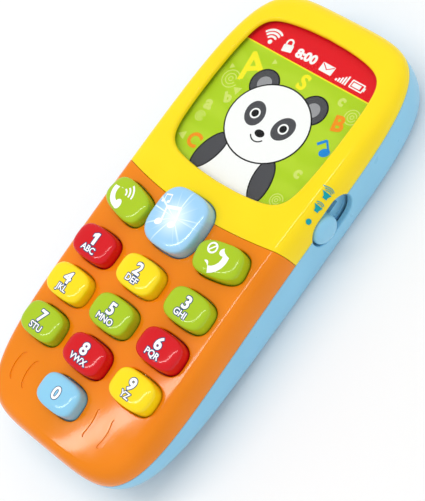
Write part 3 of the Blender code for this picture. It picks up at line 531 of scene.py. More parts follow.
def even(outline, count, corner_share=0.6):
    """Points along a closed outline, from its first point, drawn together where it turns."""
    dense = np.asarray(outline, float)
    closed = np.vstack([dense, dense[:1]])
    legs = np.diff(closed, axis=0)
    steps = np.hypot(*legs.T)
    turning = np.abs(np.gradient(np.unwrap(np.arctan2(legs[:, 1], legs[:, 0]))))
    steps = (1.0 - corner_share) * steps / steps.sum() + corner_share * turning / turning.sum()
    along = np.concatenate([[0.0], np.cumsum(steps)])
    wanted = np.linspace(0.0, along[-1], count, endpoint=False)
    return np.stack([np.interp(wanted, along, closed[:, k]) for k in (0, 1)], axis=1)


def power(value, exponent):
    """A signed power, for superellipses."""
    return np.sign(value) * np.abs(value) ** exponent


def moved(loop, middle, turn):
    """A loop turned about its own origin and put at a place."""
    c, s = math.cos(turn), math.sin(turn)
    return np.asarray(loop, float) @ np.array([[c, s], [-s, c]]) + np.array(middle)


def cushion(half, count, exponent=3.6, bulge=(0.04, 0.06), grow=0.0, turn=0.0, middle=(0.0, 0.0)):
    """A rounded rectangle whose four sides bow out."""
    angle = np.linspace(0.0, 2.0 * math.pi, 1440, endpoint=False)
    u = power(np.cos(angle), 2.0 / exponent)
    v = power(np.sin(angle), 2.0 / exponent)
    x = (half[0] + grow) * u * (1.0 - bulge[0] * v * v)
    y = (half[1] + grow) * v * (1.0 - bulge[1] * u * u)
    return moved(even(np.stack([x, y], axis=1), count, 0.4), middle, turn)


def circle(radius, count=32, middle=(0.0, 0.0)):
    """A round outline."""
    angle = np.linspace(0.0, 2.0 * math.pi, count, endpoint=False)
    return np.stack([middle[0] + radius * np.cos(angle), middle[1] + radius * np.sin(angle)], axis=1)


def arc(radius, start, end, middle=(0.0, 0.0), count=20):
    """Points on an arc, in degrees."""
    angle = np.radians(np.linspace(start, end, count))
    return np.stack([middle[0] + radius * np.cos(angle), middle[1] + radius * np.sin(angle)], axis=1)


def rectangle(x0, y0, x1, y1, radius=0.0, steps=8):
    """A rectangle, with rounded corners if it has a radius."""
    if radius <= 0.0:
        return np.array([(x1, y0), (x1, y1), (x0, y1), (x0, y0)])
    corners = ((x1 - radius, y1 - radius), (x0 + radius, y1 - radius),
               (x0 + radius, y0 + radius), (x1 - radius, y0 + radius))
    points = []
    for index, corner in enumerate(corners):
        points.extend(arc(radius, 90.0 * index, 90.0 * (index + 1), corner, steps + 1))
    return np.array(points)


def cylinder(name, x, y, radius, low, high, count=32):
    """An upright cylinder."""
    return extrude(name, circle(radius, count, (x, y)), low, high)


def block(name, low, high):
    """A box between two corners."""
    return extrude(name, rectangle(low[0], low[1], high[0], high[1]), low[2], high[2])


# --- the case's surfaces -------------------------------------------------------------------------

def case_outline(inset=0.0):
    """The case seen from above: a squarish superellipse, a little fuller towards its ends."""
    angle = np.linspace(0.0, 2.0 * math.pi, 4800, endpoint=False)
    upper = np.sin(angle) > 0.0
    exponent = np.where(upper, TOP_EXPONENT, BOTTOM_EXPONENT)
    x = HALF_WIDTH * power(np.cos(angle), 2.0 / exponent)
    y = np.where(upper, TOP_LENGTH, BOTTOM_LENGTH) * power(np.sin(angle), 2.0 / exponent)
    x = x * (1.0 + BARREL * (y / BOTTOM_LENGTH) ** 2)
    points = even(np.stack([x, y], axis=1), OUTLINE_POINTS)
    return points * (1.0 - inset / np.array([HALF_WIDTH, BOTTOM_LENGTH]))


def half_width_at(y):
    """Half the case's width at one place along it."""
    length, exponent = (TOP_LENGTH, TOP_EXPONENT) if y > 0.0 else (BOTTOM_LENGTH, BOTTOM_EXPONENT)
    straight = (1.0 - abs(y / length) ** exponent) ** (1.0 / exponent)
    return HALF_WIDTH * straight * (1.0 + BARREL * (y / BOTTOM_LENGTH) ** 2)


def face_rise(x, y):
    """How far the face stands above the parting plane."""
    crown = FACE_CROWN * (y / FACE_CROWN_AT) ** 2
    return FACE_HEIGHT - FACE_SLOPE * y - crown - FACE_SAG * (x / COLUMN_PITCH) ** 2


def face_z(x, y):
    """The height of the face."""
    return PARTING_Z + face_rise(x, y)


def back_z(x, y):
    """The outer back: flat, with the lower end swept up."""
    tail = max(0.0, (TAIL_LIFT_FROM - y) / TAIL_LIFT_RUN)
    return TAIL_LIFT * tail**TAIL_LIFT_POWER - BACK_TRIM


def floor_z(x, y):
    """The inside of the back."""
    return back_z(x, y) + WALL + BACK_TRIM


def quarter(t, exponent=EDGE_EXPONENT):
    """Inset and rise, each 0 to 1, along a rounded edge."""
    angle = min(1.0, max(0.0, t)) * math.pi / 2.0
    return 1.0 - math.cos(angle) ** (2.0 / exponent), math.sin(angle) ** (2.0 / exponent)


def rounding(radius, degrees):
    """How far a quarter round stands sideways and how far it still has to rise, at each angle."""
    return [(radius * (1.0 - math.cos(a)), radius * (1.0 - math.sin(a))) for a in np.radians(degrees)]


def side_at(y, z):
    """How far the side wall stands from the middle at a place and a height."""
    above = z > PARTING_Z
    full = face_rise(HALF_WIDTH - FRONT_EDGE, y) if above else PARTING_Z - back_z(0.0, y)
    share = min(1.0, abs(z - PARTING_Z) / full)
    angle = math.asin(share ** (EDGE_EXPONENT / 2.0))
    inset = 1.0 - math.cos(angle) ** (2.0 / EDGE_EXPONENT)
    return half_width_at(y) - (FRONT_EDGE if above else BACK_EDGE) * inset


def front_rings(wall, edge, steps, scales):
    """Rings of a front surface, from the parting plane up to the middle of the face."""
    rings = []
    for t in np.linspace(0.0, 1.0, steps):
        inset, rise = quarter(t)
        rings.append(ring(case_outline(wall + edge * inset), lambda x, y: face_z(x, y) * rise
                          + PARTING_Z * (1.0 - rise) - wall * rise))
    flat = case_outline(wall + edge)
    for scale in scales:
        rings.append(ring(flat * scale, lambda x, y: face_z(x, y) - wall))
    return rings


def front_shell():
    """The whole front dome, with a rounded rim, before the seam parts it into two covers."""
    outer = front_rings(0.0, FRONT_EDGE, EDGE_STEPS, np.linspace(0.97, 0.06, 26))
    rim = [ring(case_outline(inset), PARTING_Z + rise) for rise, inset in rounding(RIM_ROUND, (0.0, 30.0, 60.0))]
    outer[0] = ring(case_outline(0.0), PARTING_Z + RIM_ROUND)
    outer = rim + [level for level in outer if level[0][2] >= PARTING_Z + RIM_ROUND]
    inner = front_rings(WALL, FRONT_EDGE - 0.8, 8, (0.85, 0.6, 0.3))
    inner.reverse()
    centre = PARTING_Z + FACE_HEIGHT
    return loft("shell", inner + outer, None, ((0.0, 0.0, centre - WALL), (0.0, 0.0, centre)))


def seam_y(x):
    """The seam's place along the case, as an arch across it."""
    return SEAM_MIDDLE_Y + SEAM_RISE * (x / HALF_WIDTH) ** 2


def seam_path():
    """Points on the outer surface along the seam, from the right side over the face to the left."""
    right = []
    wide = half_width_at(SEAM_MIDDLE_Y + SEAM_RISE)
    for t in np.linspace(0.0, 1.0, 16):
        inset, rise = quarter(t)
        x = wide - FRONT_EDGE * inset
        right.append((x, seam_y(x), PARTING_Z + face_rise(x, seam_y(x)) * rise))
    right.insert(0, (right[0][0], right[0][1], PARTING_Z - 1.5))
    face = [(x, seam_y(x), face_z(x, seam_y(x))) for x in np.linspace(wide - FRONT_EDGE, 0.0, 24)[1:]]
    half = right + face
    left = [(-x, y, z) for x, y, z in reversed(half[:-1])]
    return np.array(half + left)


def seam_cutter():
    """A thin wall along the seam, flared where it meets the outer surface, so that both lips are rounded."""
    path = seam_path()
    along = np.gradient(path, axis=0)
    along /= np.linalg.norm(along, axis=1)[:, None]
    across = np.array([0.0, 1.0, 0.0]) - along * along[:, 1:2]
    across /= np.linalg.norm(across, axis=1)[:, None]
    out = np.cross(across, along)
    half = SEAM_GAP / 2.0
    profile = [(-SEAM_DEPTH, half)]
    for a in np.radians(np.linspace(0.0, 80.0, 5)):
        profile.append((-SEAM_ROUND + SEAM_ROUND * math.sin(a), half + SEAM_ROUND * (1.0 - math.cos(a))))
    profile.append((1.0, half + SEAM_ROUND))
    section = profile + [(depth, -side) for depth, side in reversed(profile)]
    rings = []
    for point, up, side in zip(path, out, across):
        rings.append([tuple(point + up * depth + side * offset) for depth, offset in section])
    return outward(loft("seam", rings))


def outward(item):
    """Turn a closed mesh's faces outward."""
    work = bmesh.new()
    work.from_mesh(item.data)
    bmesh.ops.recalc_face_normals(work, faces=work.faces)
    work.to_mesh(item.data)
    work.free()
    return item


def parted(shell, name, keep_high, finish):
    """A copy of the shell with only the pieces on one side of the seam."""
    work = bmesh.new()
    work.from_mesh(shell.data)
    left = set(work.verts)
    drop = []
    while left:
        group = [left.pop()]
        for vertex in group:
            for edge in vertex.link_edges:
                other = edge.other_vert(vertex)
                if other in left:
                    left.discard(other)
                    group.append(other)
        middle = sum(vertex.co.y for vertex in group) / len(group)
        if (middle > SEAM_MIDDLE_Y * MM) != keep_high:
            drop.extend(group)
    bmesh.ops.delete(work, geom=drop, context="VERTS")
    mesh = bpy.data.meshes.new(name)
    work.to_mesh(mesh)
    work.free()
    mesh.materials.append(finish)
    return placed(name, mesh)


def flared_cutter(outline_at, surface, low, radius):
    """A cutter whose walls curve outward to meet a surface; outline_at gives the outline grown by a width."""
    rings = [ring(outline_at(0.0), low)]
    for wide, sink in rounding(radius, np.linspace(0.0, 84.0, 6)):
        rings.append(ring(outline_at(wide), lambda x, y: surface(x, y) - sink))
    rings.append(ring(outline_at(radius), lambda x, y: surface(x, y) + 4.0))
    return loft("flared", rings)


# --- keys ----------------------------------------------------------------------------------------

def span(node):
    """A node's lowest and highest corner, in millimetres."""
    low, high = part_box(node)
    return np.array(low) / MM, np.array(high) / MM


def key_table():
    """Name, middle of the top, half size and turn of every key; the light key comes last."""
    rows = [(f"key_{digit}", KEY_HALF, 0.0) for digit in range(10)]
    rows += [("call_key", CALL_HALF, -CALL_TURN), ("end_call_key", CALL_HALF, CALL_TURN)]
    rows.append(("light_key", LIGHT_HALF, 0.0))
    table = []
    for name, half, turn in rows:
        low, high = span(name)
        middle = ((low[0] + high[0]) / 2.0, (low[1] + high[1]) / 2.0, high[2])
        table.append((name, middle, half, turn))
    return table


def travel_of(joint):
    """How far a sliding joint goes, in millimetres."""
    return next(each for each in frame["joints"] if each["name"] == joint)["range_m"][1] / MM


def build_key(name, middle, half, turn, finish):
    """A cushion key, with its flange and post below; the light key's post stands aside of its lamp well."""
    low, _ = span(name)
    top, spot = middle[2], middle[:2]
    under = flange_top(middle, half)
    body = cushion(half, KEY_POINTS, turn=turn)
    skirt = cushion(half, KEY_POINTS, grow=FLANGE, turn=turn)
    post = circle(POST_RADIUS, KEY_POINTS)
    rings = [ring(post + spot, low[2]), ring(post + spot, under - FLANGE_THICK)]
    if name == "light_key":
        rings = []
    rings += [ring(skirt + spot, under - FLANGE_THICK), ring(skirt + spot, under), ring(body + spot, under)]
    for t in KEY_DOME_STEPS:
        inset, rise = quarter(t, KEY_DOME_EXPONENT)
        rings.append(ring(body * (1.0 - inset) + spot, top - KEY_DOME * (1.0 - rise)))
    made = loft(f"{name}_cap", rings, finish, (None, (*spot, top)))
    if name == "light_key":
        peg_top = under - FLANGE_THICK + 0.5
        fuse(made, cylinder("peg", 0.0, LIGHT_DOME_Y, POST_RADIUS, low[2], peg_top))
        combine(made, cylinder("well", *spot, LAMP_WELL_RADIUS, under - 3.0, top - LAMP_WELL_ROOF))
    polish(made, 40.0, weighted=False)
    return carried(made, name, name)


def flange_top(middle, half):
    """The highest level plane that clears the inside of the face all over a key's flange."""
    xs = [middle[0] + side * (half[0] + FLANGE) for side in (-1, 0, 1)]
    ys = [middle[1] + side * (half[1] + FLANGE) for side in (-1, 0, 1)]
    return min(face_z(x, y) for x in xs for y in ys) - WALL - GAP


def carried(piece, body, *nodes, slot=None):
    """Ride on a body and stand for nodes; slot is not used."""
    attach(piece, body)
    if nodes:
        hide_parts(*nodes)
    return piece


def build_membrane(table, finish):
    """The rubber mat, and a hollow dome under each key."""
    mat = extrude("membrane_mat", case_outline(MAT_EDGE), MAT_LOW, MAT_TOP, finish)
    combine(mat, block("end", (-BEYOND, MAT_END_Y, 0.0), (BEYOND, BEYOND, BEYOND)))
    holes = [cylinder("hole", x, y, BOSS_RADIUS + CLEARANCE, 0.0, BEYOND) for x, y in LOWER_SCREWS]
    combine(mat, holes + [cylinder("lamp_hole", 0.0, LAMP_Y, LAMP_HOLE, 0.0, BEYOND)])
    foot = (MAT_LOW + MAT_TOP) / 2.0
    places = {name: middle[:2] for name, middle, _, _ in table}
    places["light_key"] = (0.0, LIGHT_DOME_Y)
    combine(mat, [cylinder("under_dome", *place, DOME_RADII[0] - 0.4, 0.0, BEYOND) for place in places.values()])
    carried(polish(mat), "case", "keypad_membrane", slot="silicone")
    roof = DOME_TOP - DOME_ROOF
    for name, (x, y) in places.items():
        levels = (
            (HOLLOW_RADII[1], roof), (HOLLOW_RADII[0], foot), (DOME_RADII[0], foot), (DOME_RADII[1], DOME_TOP),
        )
        rings = [ring(circle(radius, 32, (x, y)), z) for radius, z in levels]
        dome = outward(loft(f"{name}_dome", rings, finish, ((x, y, roof), (x, y, DOME_TOP))))
        carried(polish(dome), "case", "keypad_membrane", slot="silicone")
        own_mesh(dome)


# --- covers --------------------------------------------------------------------------------------

def key_hole(row):
    """The flared cutter for one key's opening."""
    _, middle, half, turn = row

    def outline_at(grow):
        return cushion(half, KEY_POINTS, grow=GAP + grow, turn=turn, middle=middle[:2])

    return flared_cutter(outline_at, face_z, PARTING_Z + 3.0, HOLE_ROUND)


def groove_cutter(x, bow):
    """A short curved groove with rounded edges to its floor."""
    rings = []
    for depth, width in ((1.0, 0.84), (0.85, 0.95), (0.55, 1.0), (-2.5, 1.08)):
        depth *= GROOVE_DEPTH
        points = []
        for side in (1.0, -1.0):
            for t in np.linspace(-1.0, 1.0, 21) * side:
                taper = GROOVE_WIDTH / 2.0 * width * max(0.1, 1.0 - t**10) ** 0.5
                points.append((x + bow * (1.0 - t * t) + side * taper,
                               GROOVE_Y + (GROOVE_LENGTH / 2.0 - 0.6 + 0.6 * width) * t))
        rings.append(ring(points, lambda px, py: face_z(px, py) - depth))
    return loft("groove", rings)


def add_bosses(shell, places):
    """Screw bosses that hang from the inside of the face, with blind pilot holes."""
    low = TUBE_TOP + GAP
    for x, y in places:
        fuse(shell, cylinder("boss", x, y, BOSS_RADIUS, low, face_z(x, y) - WALL / 2.0))
    combine(shell, [cylinder("pilot", x, y, SCREW_RADIUS + GAP, low - 1.0, SCREW_TIP + 0.6) for x, y in places])


def screen_outline(grow=0.0, count=144):
    """The screen opening: a rectangle with bowed sides and tight corners."""
    return cushion(SCREEN_HALF, count, exponent=9.0, bulge=(0.07, 0.105), grow=grow)


def screen_point(u, v, lift):
    """A point over the screen's plane, given from the screen's middle."""
    c, s = math.cos(SCREEN_TILT), math.sin(SCREEN_TILT)
    return (u, SCREEN_MIDDLE_Y + v * c + lift * s, SCREEN_Z - v * s + lift * c)


def on_screen_plane(outline, lift):
    """An outline laid on the screen's plane."""
    return [screen_point(x, y, lift) for x, y in outline]


def build_front(yellow, orange):
    """The screen cover and the keypad cover."""
    shell = combine(outward(front_shell()), seam_cutter())
    upper = parted(shell, "screen_cover", True, yellow)
    lower = parted(shell, "keypad_cover", False, orange)
    bpy.data.objects.remove(shell, do_unlink=True)
    *small, light = key_table()
    combine(lower, key_hole(light))
    combine(lower, [key_hole(row) for row in small])
    combine(lower, [groove_cutter(x, bow) for x, bow in GROOVES])
    add_bosses(lower, LOWER_SCREWS)
    combine(upper, key_hole(light))
    build_screen_seat(upper)
    combine(upper, pocket_cutter(POCKET_FRONT_X))
    add_bosses(upper, UPPER_SCREWS)
    for x in (-HOOK_X, HOOK_X):
        for ys, zs in (HOOK_ROOT, HOOK_LEG):
            fuse(upper, block("hook", (x - HOOK_HALF, ys[0], zs[0]), (x + HOOK_HALF, ys[1], zs[1])))
    carried(polish(upper), "case", "front_cover_upper", slot="yellow_plastic")
    carried(polish(lower), "case", "front_cover_lower", slot="orange_plastic")


def build_screen_seat(upper):
    """The screen opening with its rounded lip, and the rim that the window sits against."""
    window_top, rim_top, seat_foot = 0.05, 0.9, -6.0
    lap, seat = screen_outline(WINDOW_LAP), screen_outline(WINDOW_LAP + GAP)
    fuse(upper, loft("rim", [on_screen_plane(lap, window_top), on_screen_plane(lap, rim_top)]))
    combine(upper, loft("seat", [on_screen_plane(seat, seat_foot), on_screen_plane(seat, window_top)]))

    def outline_at(grow):
        return screen_outline(grow) + np.array([0.0, SCREEN_MIDDLE_Y])

    combine(upper, flared_cutter(outline_at, face_z, PARTING_Z - 1.0, SCREEN_ROUND))


def pocket_outline(radius):
    """The pocket's stadium, as y and z from its middle."""
    run = POCKET_HALF_LENGTH - POCKET_RADIUS
    points = []
    for centre, start in ((run, -90.0), (-run, 90.0)):
        points.extend(arc(radius, start, start + 180.0, (centre, 0.0), 25))
    return points


def pocket_ring(x_at, radius):
    """The pocket's outline as points, at the x that a function of y and z gives."""
    y, z = POCKET_MIDDLE
    return [(x_at(y + py, z + pz), y + py, z + pz) for py, pz in pocket_outline(radius)]


def pocket_cutter(floor):
    """A stadium along X, flared where it meets the side wall."""
    outside = 45.0
    rings = [pocket_ring(lambda y, z: floor, POCKET_RADIUS)]
    for wide, sink in rounding(POCKET_ROUND, np.linspace(0.0, 80.0, 6)):
        rings.append(pocket_ring(lambda y, z: side_at(y, z) - sink, POCKET_RADIUS + wide))
    rings.append(pocket_ring(lambda y, z: outside, POCKET_RADIUS + POCKET_ROUND))
    return loft("pocket", rings)


def pocket_cup():
    """The wall round the slider's pocket, inside the case."""
    ends = (POCKET_FLOOR_X - 1.7, POCKET_FLOOR_X + 0.5)
    return loft("cup", [pocket_ring(lambda y, z: x, POCKET_RADIUS + POCKET_WALL) for x in ends])


def back_rings():
    """Rings of the back cover: up its outside, over the tongue and down its inside."""
    rim = PARTING_Z - GAP / 2.0
    rings = []
    flat = case_outline(BACK_EDGE)
    for scale in (0.2, 0.5, 0.8, 0.94):
        rings.append(ring(flat * scale, back_z))
    for t in np.linspace(1.0, 0.0, EDGE_STEPS)[:-1]:
        inset, drop = quarter(t)
        level = ring(case_outline(BACK_EDGE * inset), lambda x, y: rim + (back_z(x, y) - rim) * drop)
        if max(point[2] for point in level) < rim - RIM_ROUND:
            rings.append(level)
    for inset, drop in rounding(RIM_ROUND, (0.0, 30.0, 60.0, 90.0)):
        rings.append(ring(case_outline(inset), rim - drop))
    outer, inner = TONGUE
    for inset, z in ((outer, rim), (outer, TONGUE_TOP), (inner, TONGUE_TOP), (inner, TONGUE_FOOT)):
        rings.append(ring(case_outline(inset), z))
    edge, step = BACK_EDGE - 0.6, 1.2
    for t in (0.0, 0.25, 0.5, 0.75, 1.0):
        inset, drop = quarter(t)
        foot = TONGUE_FOOT - step * (1.0 - drop)
        rings.append(ring(case_outline(WALL + edge * inset), lambda x, y: foot + (floor_z(x, y) - foot) * drop))
    rings.append(ring(case_outline(WALL + edge) * 0.6, floor_z))
    return rings


def door_plan(grow=0.0):
    """The door seen from the back: square corners at the hinge, round ones at the screw."""
    x0, x1 = -DOOR_HALF_X - grow, DOOR_HALF_X + grow
    y0, y1 = DOOR_Y[0] - grow, DOOR_Y[1] + grow
    far = rectangle(x0, y0, x1, y1, DOOR_CORNER + grow)
    return np.vstack([far[:18], [(x0, y0), (x1, y0)]])


def rounded_bore(x, y, radius, depth, flare, count=32):
    """A bore from the back with a rounded mouth."""
    rings = [ring(circle(radius + flare, count, (x, y)), max(0.0, back_z(x, y)) - 4.0)]
    for wide, lift in rounding(flare, (84.0, 56.0, 28.0, 0.0)):
        grown = circle(radius + wide, count, (x, y))
        rings.append(ring(grown, lambda px, py: max(0.0, back_z(px, py)) + lift))
    rings.append(ring(circle(radius, count, (x, y)), depth))
    return loft("bore", rings)


def build_back(blue):
    """The back cover, with its bay, tubes, speaker seat, slider pocket and grille."""
    caps = [(0.0, 0.0, surface(0.0, 0.0)) for surface in (back_z, floor_z)]
    shell = loft("rear_cover", back_rings(), blue, caps)
    combine(shell, block("below", (-BEYOND, -BEYOND, -5.0), (BEYOND, BEYOND, 0.0)))
    add_bay(shell)
    tubes = [cylinder("tube", x, y, TUBE_RADIUS, back_z(x, y) + 1.3, TUBE_TOP) for x, y in SCREW_PLACES]
    fuse(shell, tubes)
    add_speaker_seat(shell)
    fuse(shell, pocket_cup())
    combine(shell, pocket_cutter(POCKET_FLOOR_X))
    cut_slot(shell)
    cut_bay(shell)
    heads = [rounded_bore(x, y, HEAD_RADIUS + CLEARANCE, HEAD_SEAT, 0.4) for x, y in SCREW_PLACES]
    combine(shell, heads)
    shanks = [cylinder("shank", x, y, SCREW_RADIUS + CLEARANCE, HEAD_SEAT - 1.0, 16.0) for x, y in SCREW_PLACES]
    combine(shell, shanks)
    carried(polish(shell), "case", "back_cover", slot="blue_plastic")


def add_bay(shell):
    """The frame round the door, the battery bay's walls and the cup round the door's screw."""
    side, end, near = 2.3, 2.2, 4.0
    plan = rectangle(-DOOR_HALF_X - side, DOOR_Y[0] - near, DOOR_HALF_X + side, DOOR_Y[1] + end, 2.5)
    fuse(shell, extrude("frame", plan, FRAME_LOW, FRAME_TOP))
    low = (-BAY_HALF_X - BAY_WALL, BAY_Y[0] - BAY_WALL, FRAME_TOP - 1.0)
    high = (BAY_HALF_X + BAY_WALL, BAY_Y[1] + BAY_WALL, BAY_ROOF + BAY_WALL)
    fuse(shell, block("bay", low, high))
    fuse(shell, cylinder("cup", 0.0, DOOR_SCREW_Y, CUP_RADIUS, FRAME_TOP - 1.0, CUP_TOP))


def add_speaker_seat(shell):
    """The speaker's rim, trimmed to the back it stands on, its seat, and the grille's holes below."""
    radius, seat, wall, tall = SPEAKER_RADIUS, SPEAKER_SEAT, 1.9, 16.0
    rim = cylinder("rim", 0.0, SPEAKER_Y, radius + wall, 0.0, seat + 3.0, 64)
    levels = np.linspace(SPEAKER_Y + radius + 5.0, SPEAKER_Y - radius - 5.0, 33)
    profile = [(y, back_z(0.0, y) + WALL / 2.0) for y in levels]
    profile += [(levels[-1], -5.0), (levels[0], -5.0)]
    sides = (-2.0 * radius, 2.0 * radius)
    combine(rim, outward(loft("sole", [[(x, y, z) for y, z in profile] for x in sides])))
    fuse(shell, rim)
    combine(shell, cylinder("well", 0.0, SPEAKER_Y, radius + CLEARANCE, seat - GAP, tall, 64))
    combine(shell, cylinder("sound_well", 0.0, SPEAKER_Y, radius - 1.8, seat - 1.4, tall, 64))
    holes = [(0.0, SPEAKER_Y)]
    for count, reach in GRILLE_RINGS:
        holes += [tuple(point) for point in circle(reach, count, (0.0, SPEAKER_Y))]
    combine(shell, [rounded_bore(x, y, GRILLE_HOLE, 8.0, 0.35, 20) for x, y in holes])


def cut_slot(shell):
    """The slot in the pocket's floor that the knob's neck runs in."""
    low, high = span("volume_knob")
    travel = travel_of("volume_slide")
    middle, half = (low[1] + high[1] + travel) / 2.0, travel / 2.0 + 2.0 + GAP
    z, tall = POCKET_MIDDLE[1], 1.8
    combine(shell, block("slot", (28.0, middle - half, z - tall), (33.0, middle + half, z + tall)))


def cut_bay(shell):
    """Open the bay, the door's recess, the pockets for its tabs and the slots for the contacts' tails."""
    combine(shell, extrude("recess", door_plan(GAP), -3.0, DOOR_SEAT))
    combine(shell, block("cells", (-BAY_HALF_X, BAY_Y[0], 1.0), (BAY_HALF_X, BAY_Y[1], BAY_ROOF)))
    for radius, low, high in ((4.1, 1.0, 4.2), (2.0, 3.0, 8.8)):
        combine(shell, cylinder("cup_inside", 0.0, DOOR_SCREW_Y, radius, low, high))
    reach = TAB_HALF + 0.5
    for side in (-1.0, 1.0):
        low = (side * TAB_X - reach, DOOR_Y[0] - 2.9, DOOR_SEAT - 0.2)
        high = (side * TAB_X + reach, BAY_Y[0] + 0.4, 6.2)
        combine(shell, block("tab_pocket", low, high))
        tail = (side * CELL_X - 1.6, BAY_Y[0], BAY_ROOF - 1.0)
        combine(shell, block("tail_slot", tail, (tail[0] + 3.2, BAY_Y[0] + 1.3, BAY_ROOF + 3.0)))


def build_knob(finish):
    """The volume knob: a round, softly domed head on its neck and plate, with two prongs for the switch."""
    low, high = span("volume_knob")
    y, z = (low[1] + high[1]) / 2.0, POCKET_MIDDLE[1]
    base, deep = POCKET_FLOOR_X + GAP, high[0] - POCKET_FLOOR_X - GAP
    outline = cushion(KNOB_HALF, KEY_POINTS, exponent=2.0, bulge=(0.0, 0.0))
    rings = [[(base, y + u, z + v) for u, v in outline]]
    for t in np.linspace(0.0, 0.985, 16):
        inset, rise = quarter(t, 2.7)
        x, scale = base + deep * (0.45 + 0.55 * rise), 1.0 - inset
        rings.append([(x, y + u * scale, z + v * scale) for u, v in outline])
    knob = outward(loft("slider_knob", rings, finish, (None, (high[0], y, z))))
    back = low[0] + 3.7
    fuse(knob, block("neck", (back - 0.5, y - 2.0, z - 1.5), (base + 0.5, y + 2.0, z + 1.5)))
    fuse(knob, block("plate", (back - 1.3, low[1], z - 3.4), (back, high[1], z + 3.4)))
    for side in (-1.85, 1.85):
        prong = block("prong", (low[0], y + side - 0.5, z - 1.2), (back - 0.5, y + side + 0.5, z + 1.2))
        fuse(knob, prong)
    carried(polish(knob, 40.0), "volume_slider", "volume_knob", slot="knob_blue")


def build_screw(name, body, head, shank, thick, finish):
    """A cross-head screw with a domed head, on the axis of its frame node."""
    low, high = span(name)
    x, y, _ = (low + high) / 2.0
    seat, pitch, root = low[2] + thick, 0.45, shank * 0.8
    dome = ((0.8, 0.0), (0.92, 0.1), (0.98, 0.25), (1.0, 0.45))
    profile = [(head * share, low[2] + rise) for share, rise in dome]
    profile += [(head, seat), (shank, seat)]
    for level in np.arange(seat + 0.5, high[2] - 1.2, pitch):
        profile += [(shank, level), (root, level + 0.15), (root, level + 0.25)]
    profile += [(shank, high[2] - 1.0), (0.3, high[2])]
    made = loft(f"{name}_steel", [ring(circle(radius, 28, (x, y)), z) for radius, z in profile], finish)
    for wide, tall in ((head * 0.55, 0.28), (0.28, head * 0.55)):
        combine(made, block("bar", (x - wide, y - tall, low[2] - 1.0), (x + wide, y + tall, low[2] + 0.8)))
    carried(polish(made), body, name, slot="screw_steel")


# --- prints --------------------------------------------------------------------------------------

def filled(loops):
    """Fill flat loops, even and odd, and return points and triangles fine enough to lie on a curve."""
    curve = bpy.data.curves.new("loops", "CURVE")
    curve.dimensions = "2D"
    curve.fill_mode = "BOTH"
    for loop in loops:
        line = curve.splines.new("POLY")
        line.points.add(len(loop) - 1)
        for target, (x, y) in zip(line.points, loop):
            target.co = (x, y, 0.0, 1.0)
        line.use_cyclic_u = True
    return flattened(curve)


def flattened(curve, step=0.9):
    """A curve's or a text's filled face, cut into triangles with short edges."""
    item = placed("flat", curve)
    mesh = evaluated(item)
    bpy.data.objects.remove(item, do_unlink=True)
    work = bmesh.new()
    work.from_mesh(mesh)
    bpy.data.meshes.remove(mesh)
    bmesh.ops.remove_doubles(work, verts=work.verts, dist=1e-4)
    bmesh.ops.triangulate(work, faces=work.faces)
    for _ in range(4):
        long_edges = [edge for edge in work.edges if edge.calc_length() > step]
        if not long_edges:
            break
        bmesh.ops.subdivide_edges(work, edges=long_edges, cuts=1)
        bmesh.ops.triangulate(work, faces=work.faces)
    work.verts.index_update()
    points = np.array([vertex.co[:2] for vertex in work.verts]).reshape(-1, 2)
    faces = []
    for face in work.faces:
        order = [vertex.index for vertex in face.verts]
        faces.append(order if face.normal.z > 0.0 else order[::-1])
    work.free()
    return points, faces


def lettering(text, height, bold, widen):
    """Text as a flat shape, its capitals of some height, with its outline moved out by bold."""
    curve = bpy.data.curves.new("text", "FONT")
    curve.body = text
    curve.size = 1.0
    curve.resolution_u = 6
    points, faces = filled([ONE]) if text == "1" else flattened(curve, step=10.0)
    middle = np.array([(points[:, 0].min() + points[:, 0].max()) / 2.0, CAPITAL / 2.0])
    points = (points - middle) * height / CAPITAL * np.array([widen, 1.0])
    return filled(grown_loops(points, faces, bold))


def rim_edges(faces):
    """The directed edges that only one face has."""
    sides = {(a, b): True for face in faces for a, b in zip(face, [*face[1:], face[0]])}
    return [(a, b) for a, b in sides if (b, a) not in sides]


def grown_loops(points, faces, bold):
    """The line that runs a set distance outside a flat shape, as loops."""
    step, far = 0.055, 1e9
    margin = bold + 3.0 * step
    low = points.min(axis=0) - margin
    size = np.ceil((points.max(axis=0) + margin - low) / step).astype(int) + 1
    xs, ys = low[0] + step * np.arange(size[0]), low[1] + step * np.arange(size[1])
    spots = np.stack(np.meshgrid(xs, ys, indexing="ij"), axis=-1)
    away = np.full(spots.shape[:2], far)
    inside = np.zeros(spots.shape[:2], bool)
    for a, b in rim_edges(faces):
        leg = points[b] - points[a]
        t = np.clip(((spots - points[a]) @ leg) / max(leg @ leg, 1e-12), 0.0, 1.0)
        away = np.minimum(away, np.linalg.norm(spots - points[a] - t[..., None] * leg, axis=-1))
    for face in faces:
        corners = points[list(face)]
        within = np.ones(spots.shape[:2], bool)
        for a, b in zip(corners, np.roll(corners, -1, axis=0)):
            within &= (b[0] - a[0]) * (spots[..., 1] - a[1]) - (b[1] - a[1]) * (spots[..., 0] - a[0]) >= 0.0
        inside |= within
    return level_loops(spots, np.where(inside, -away, away) - bold + 1e-7)


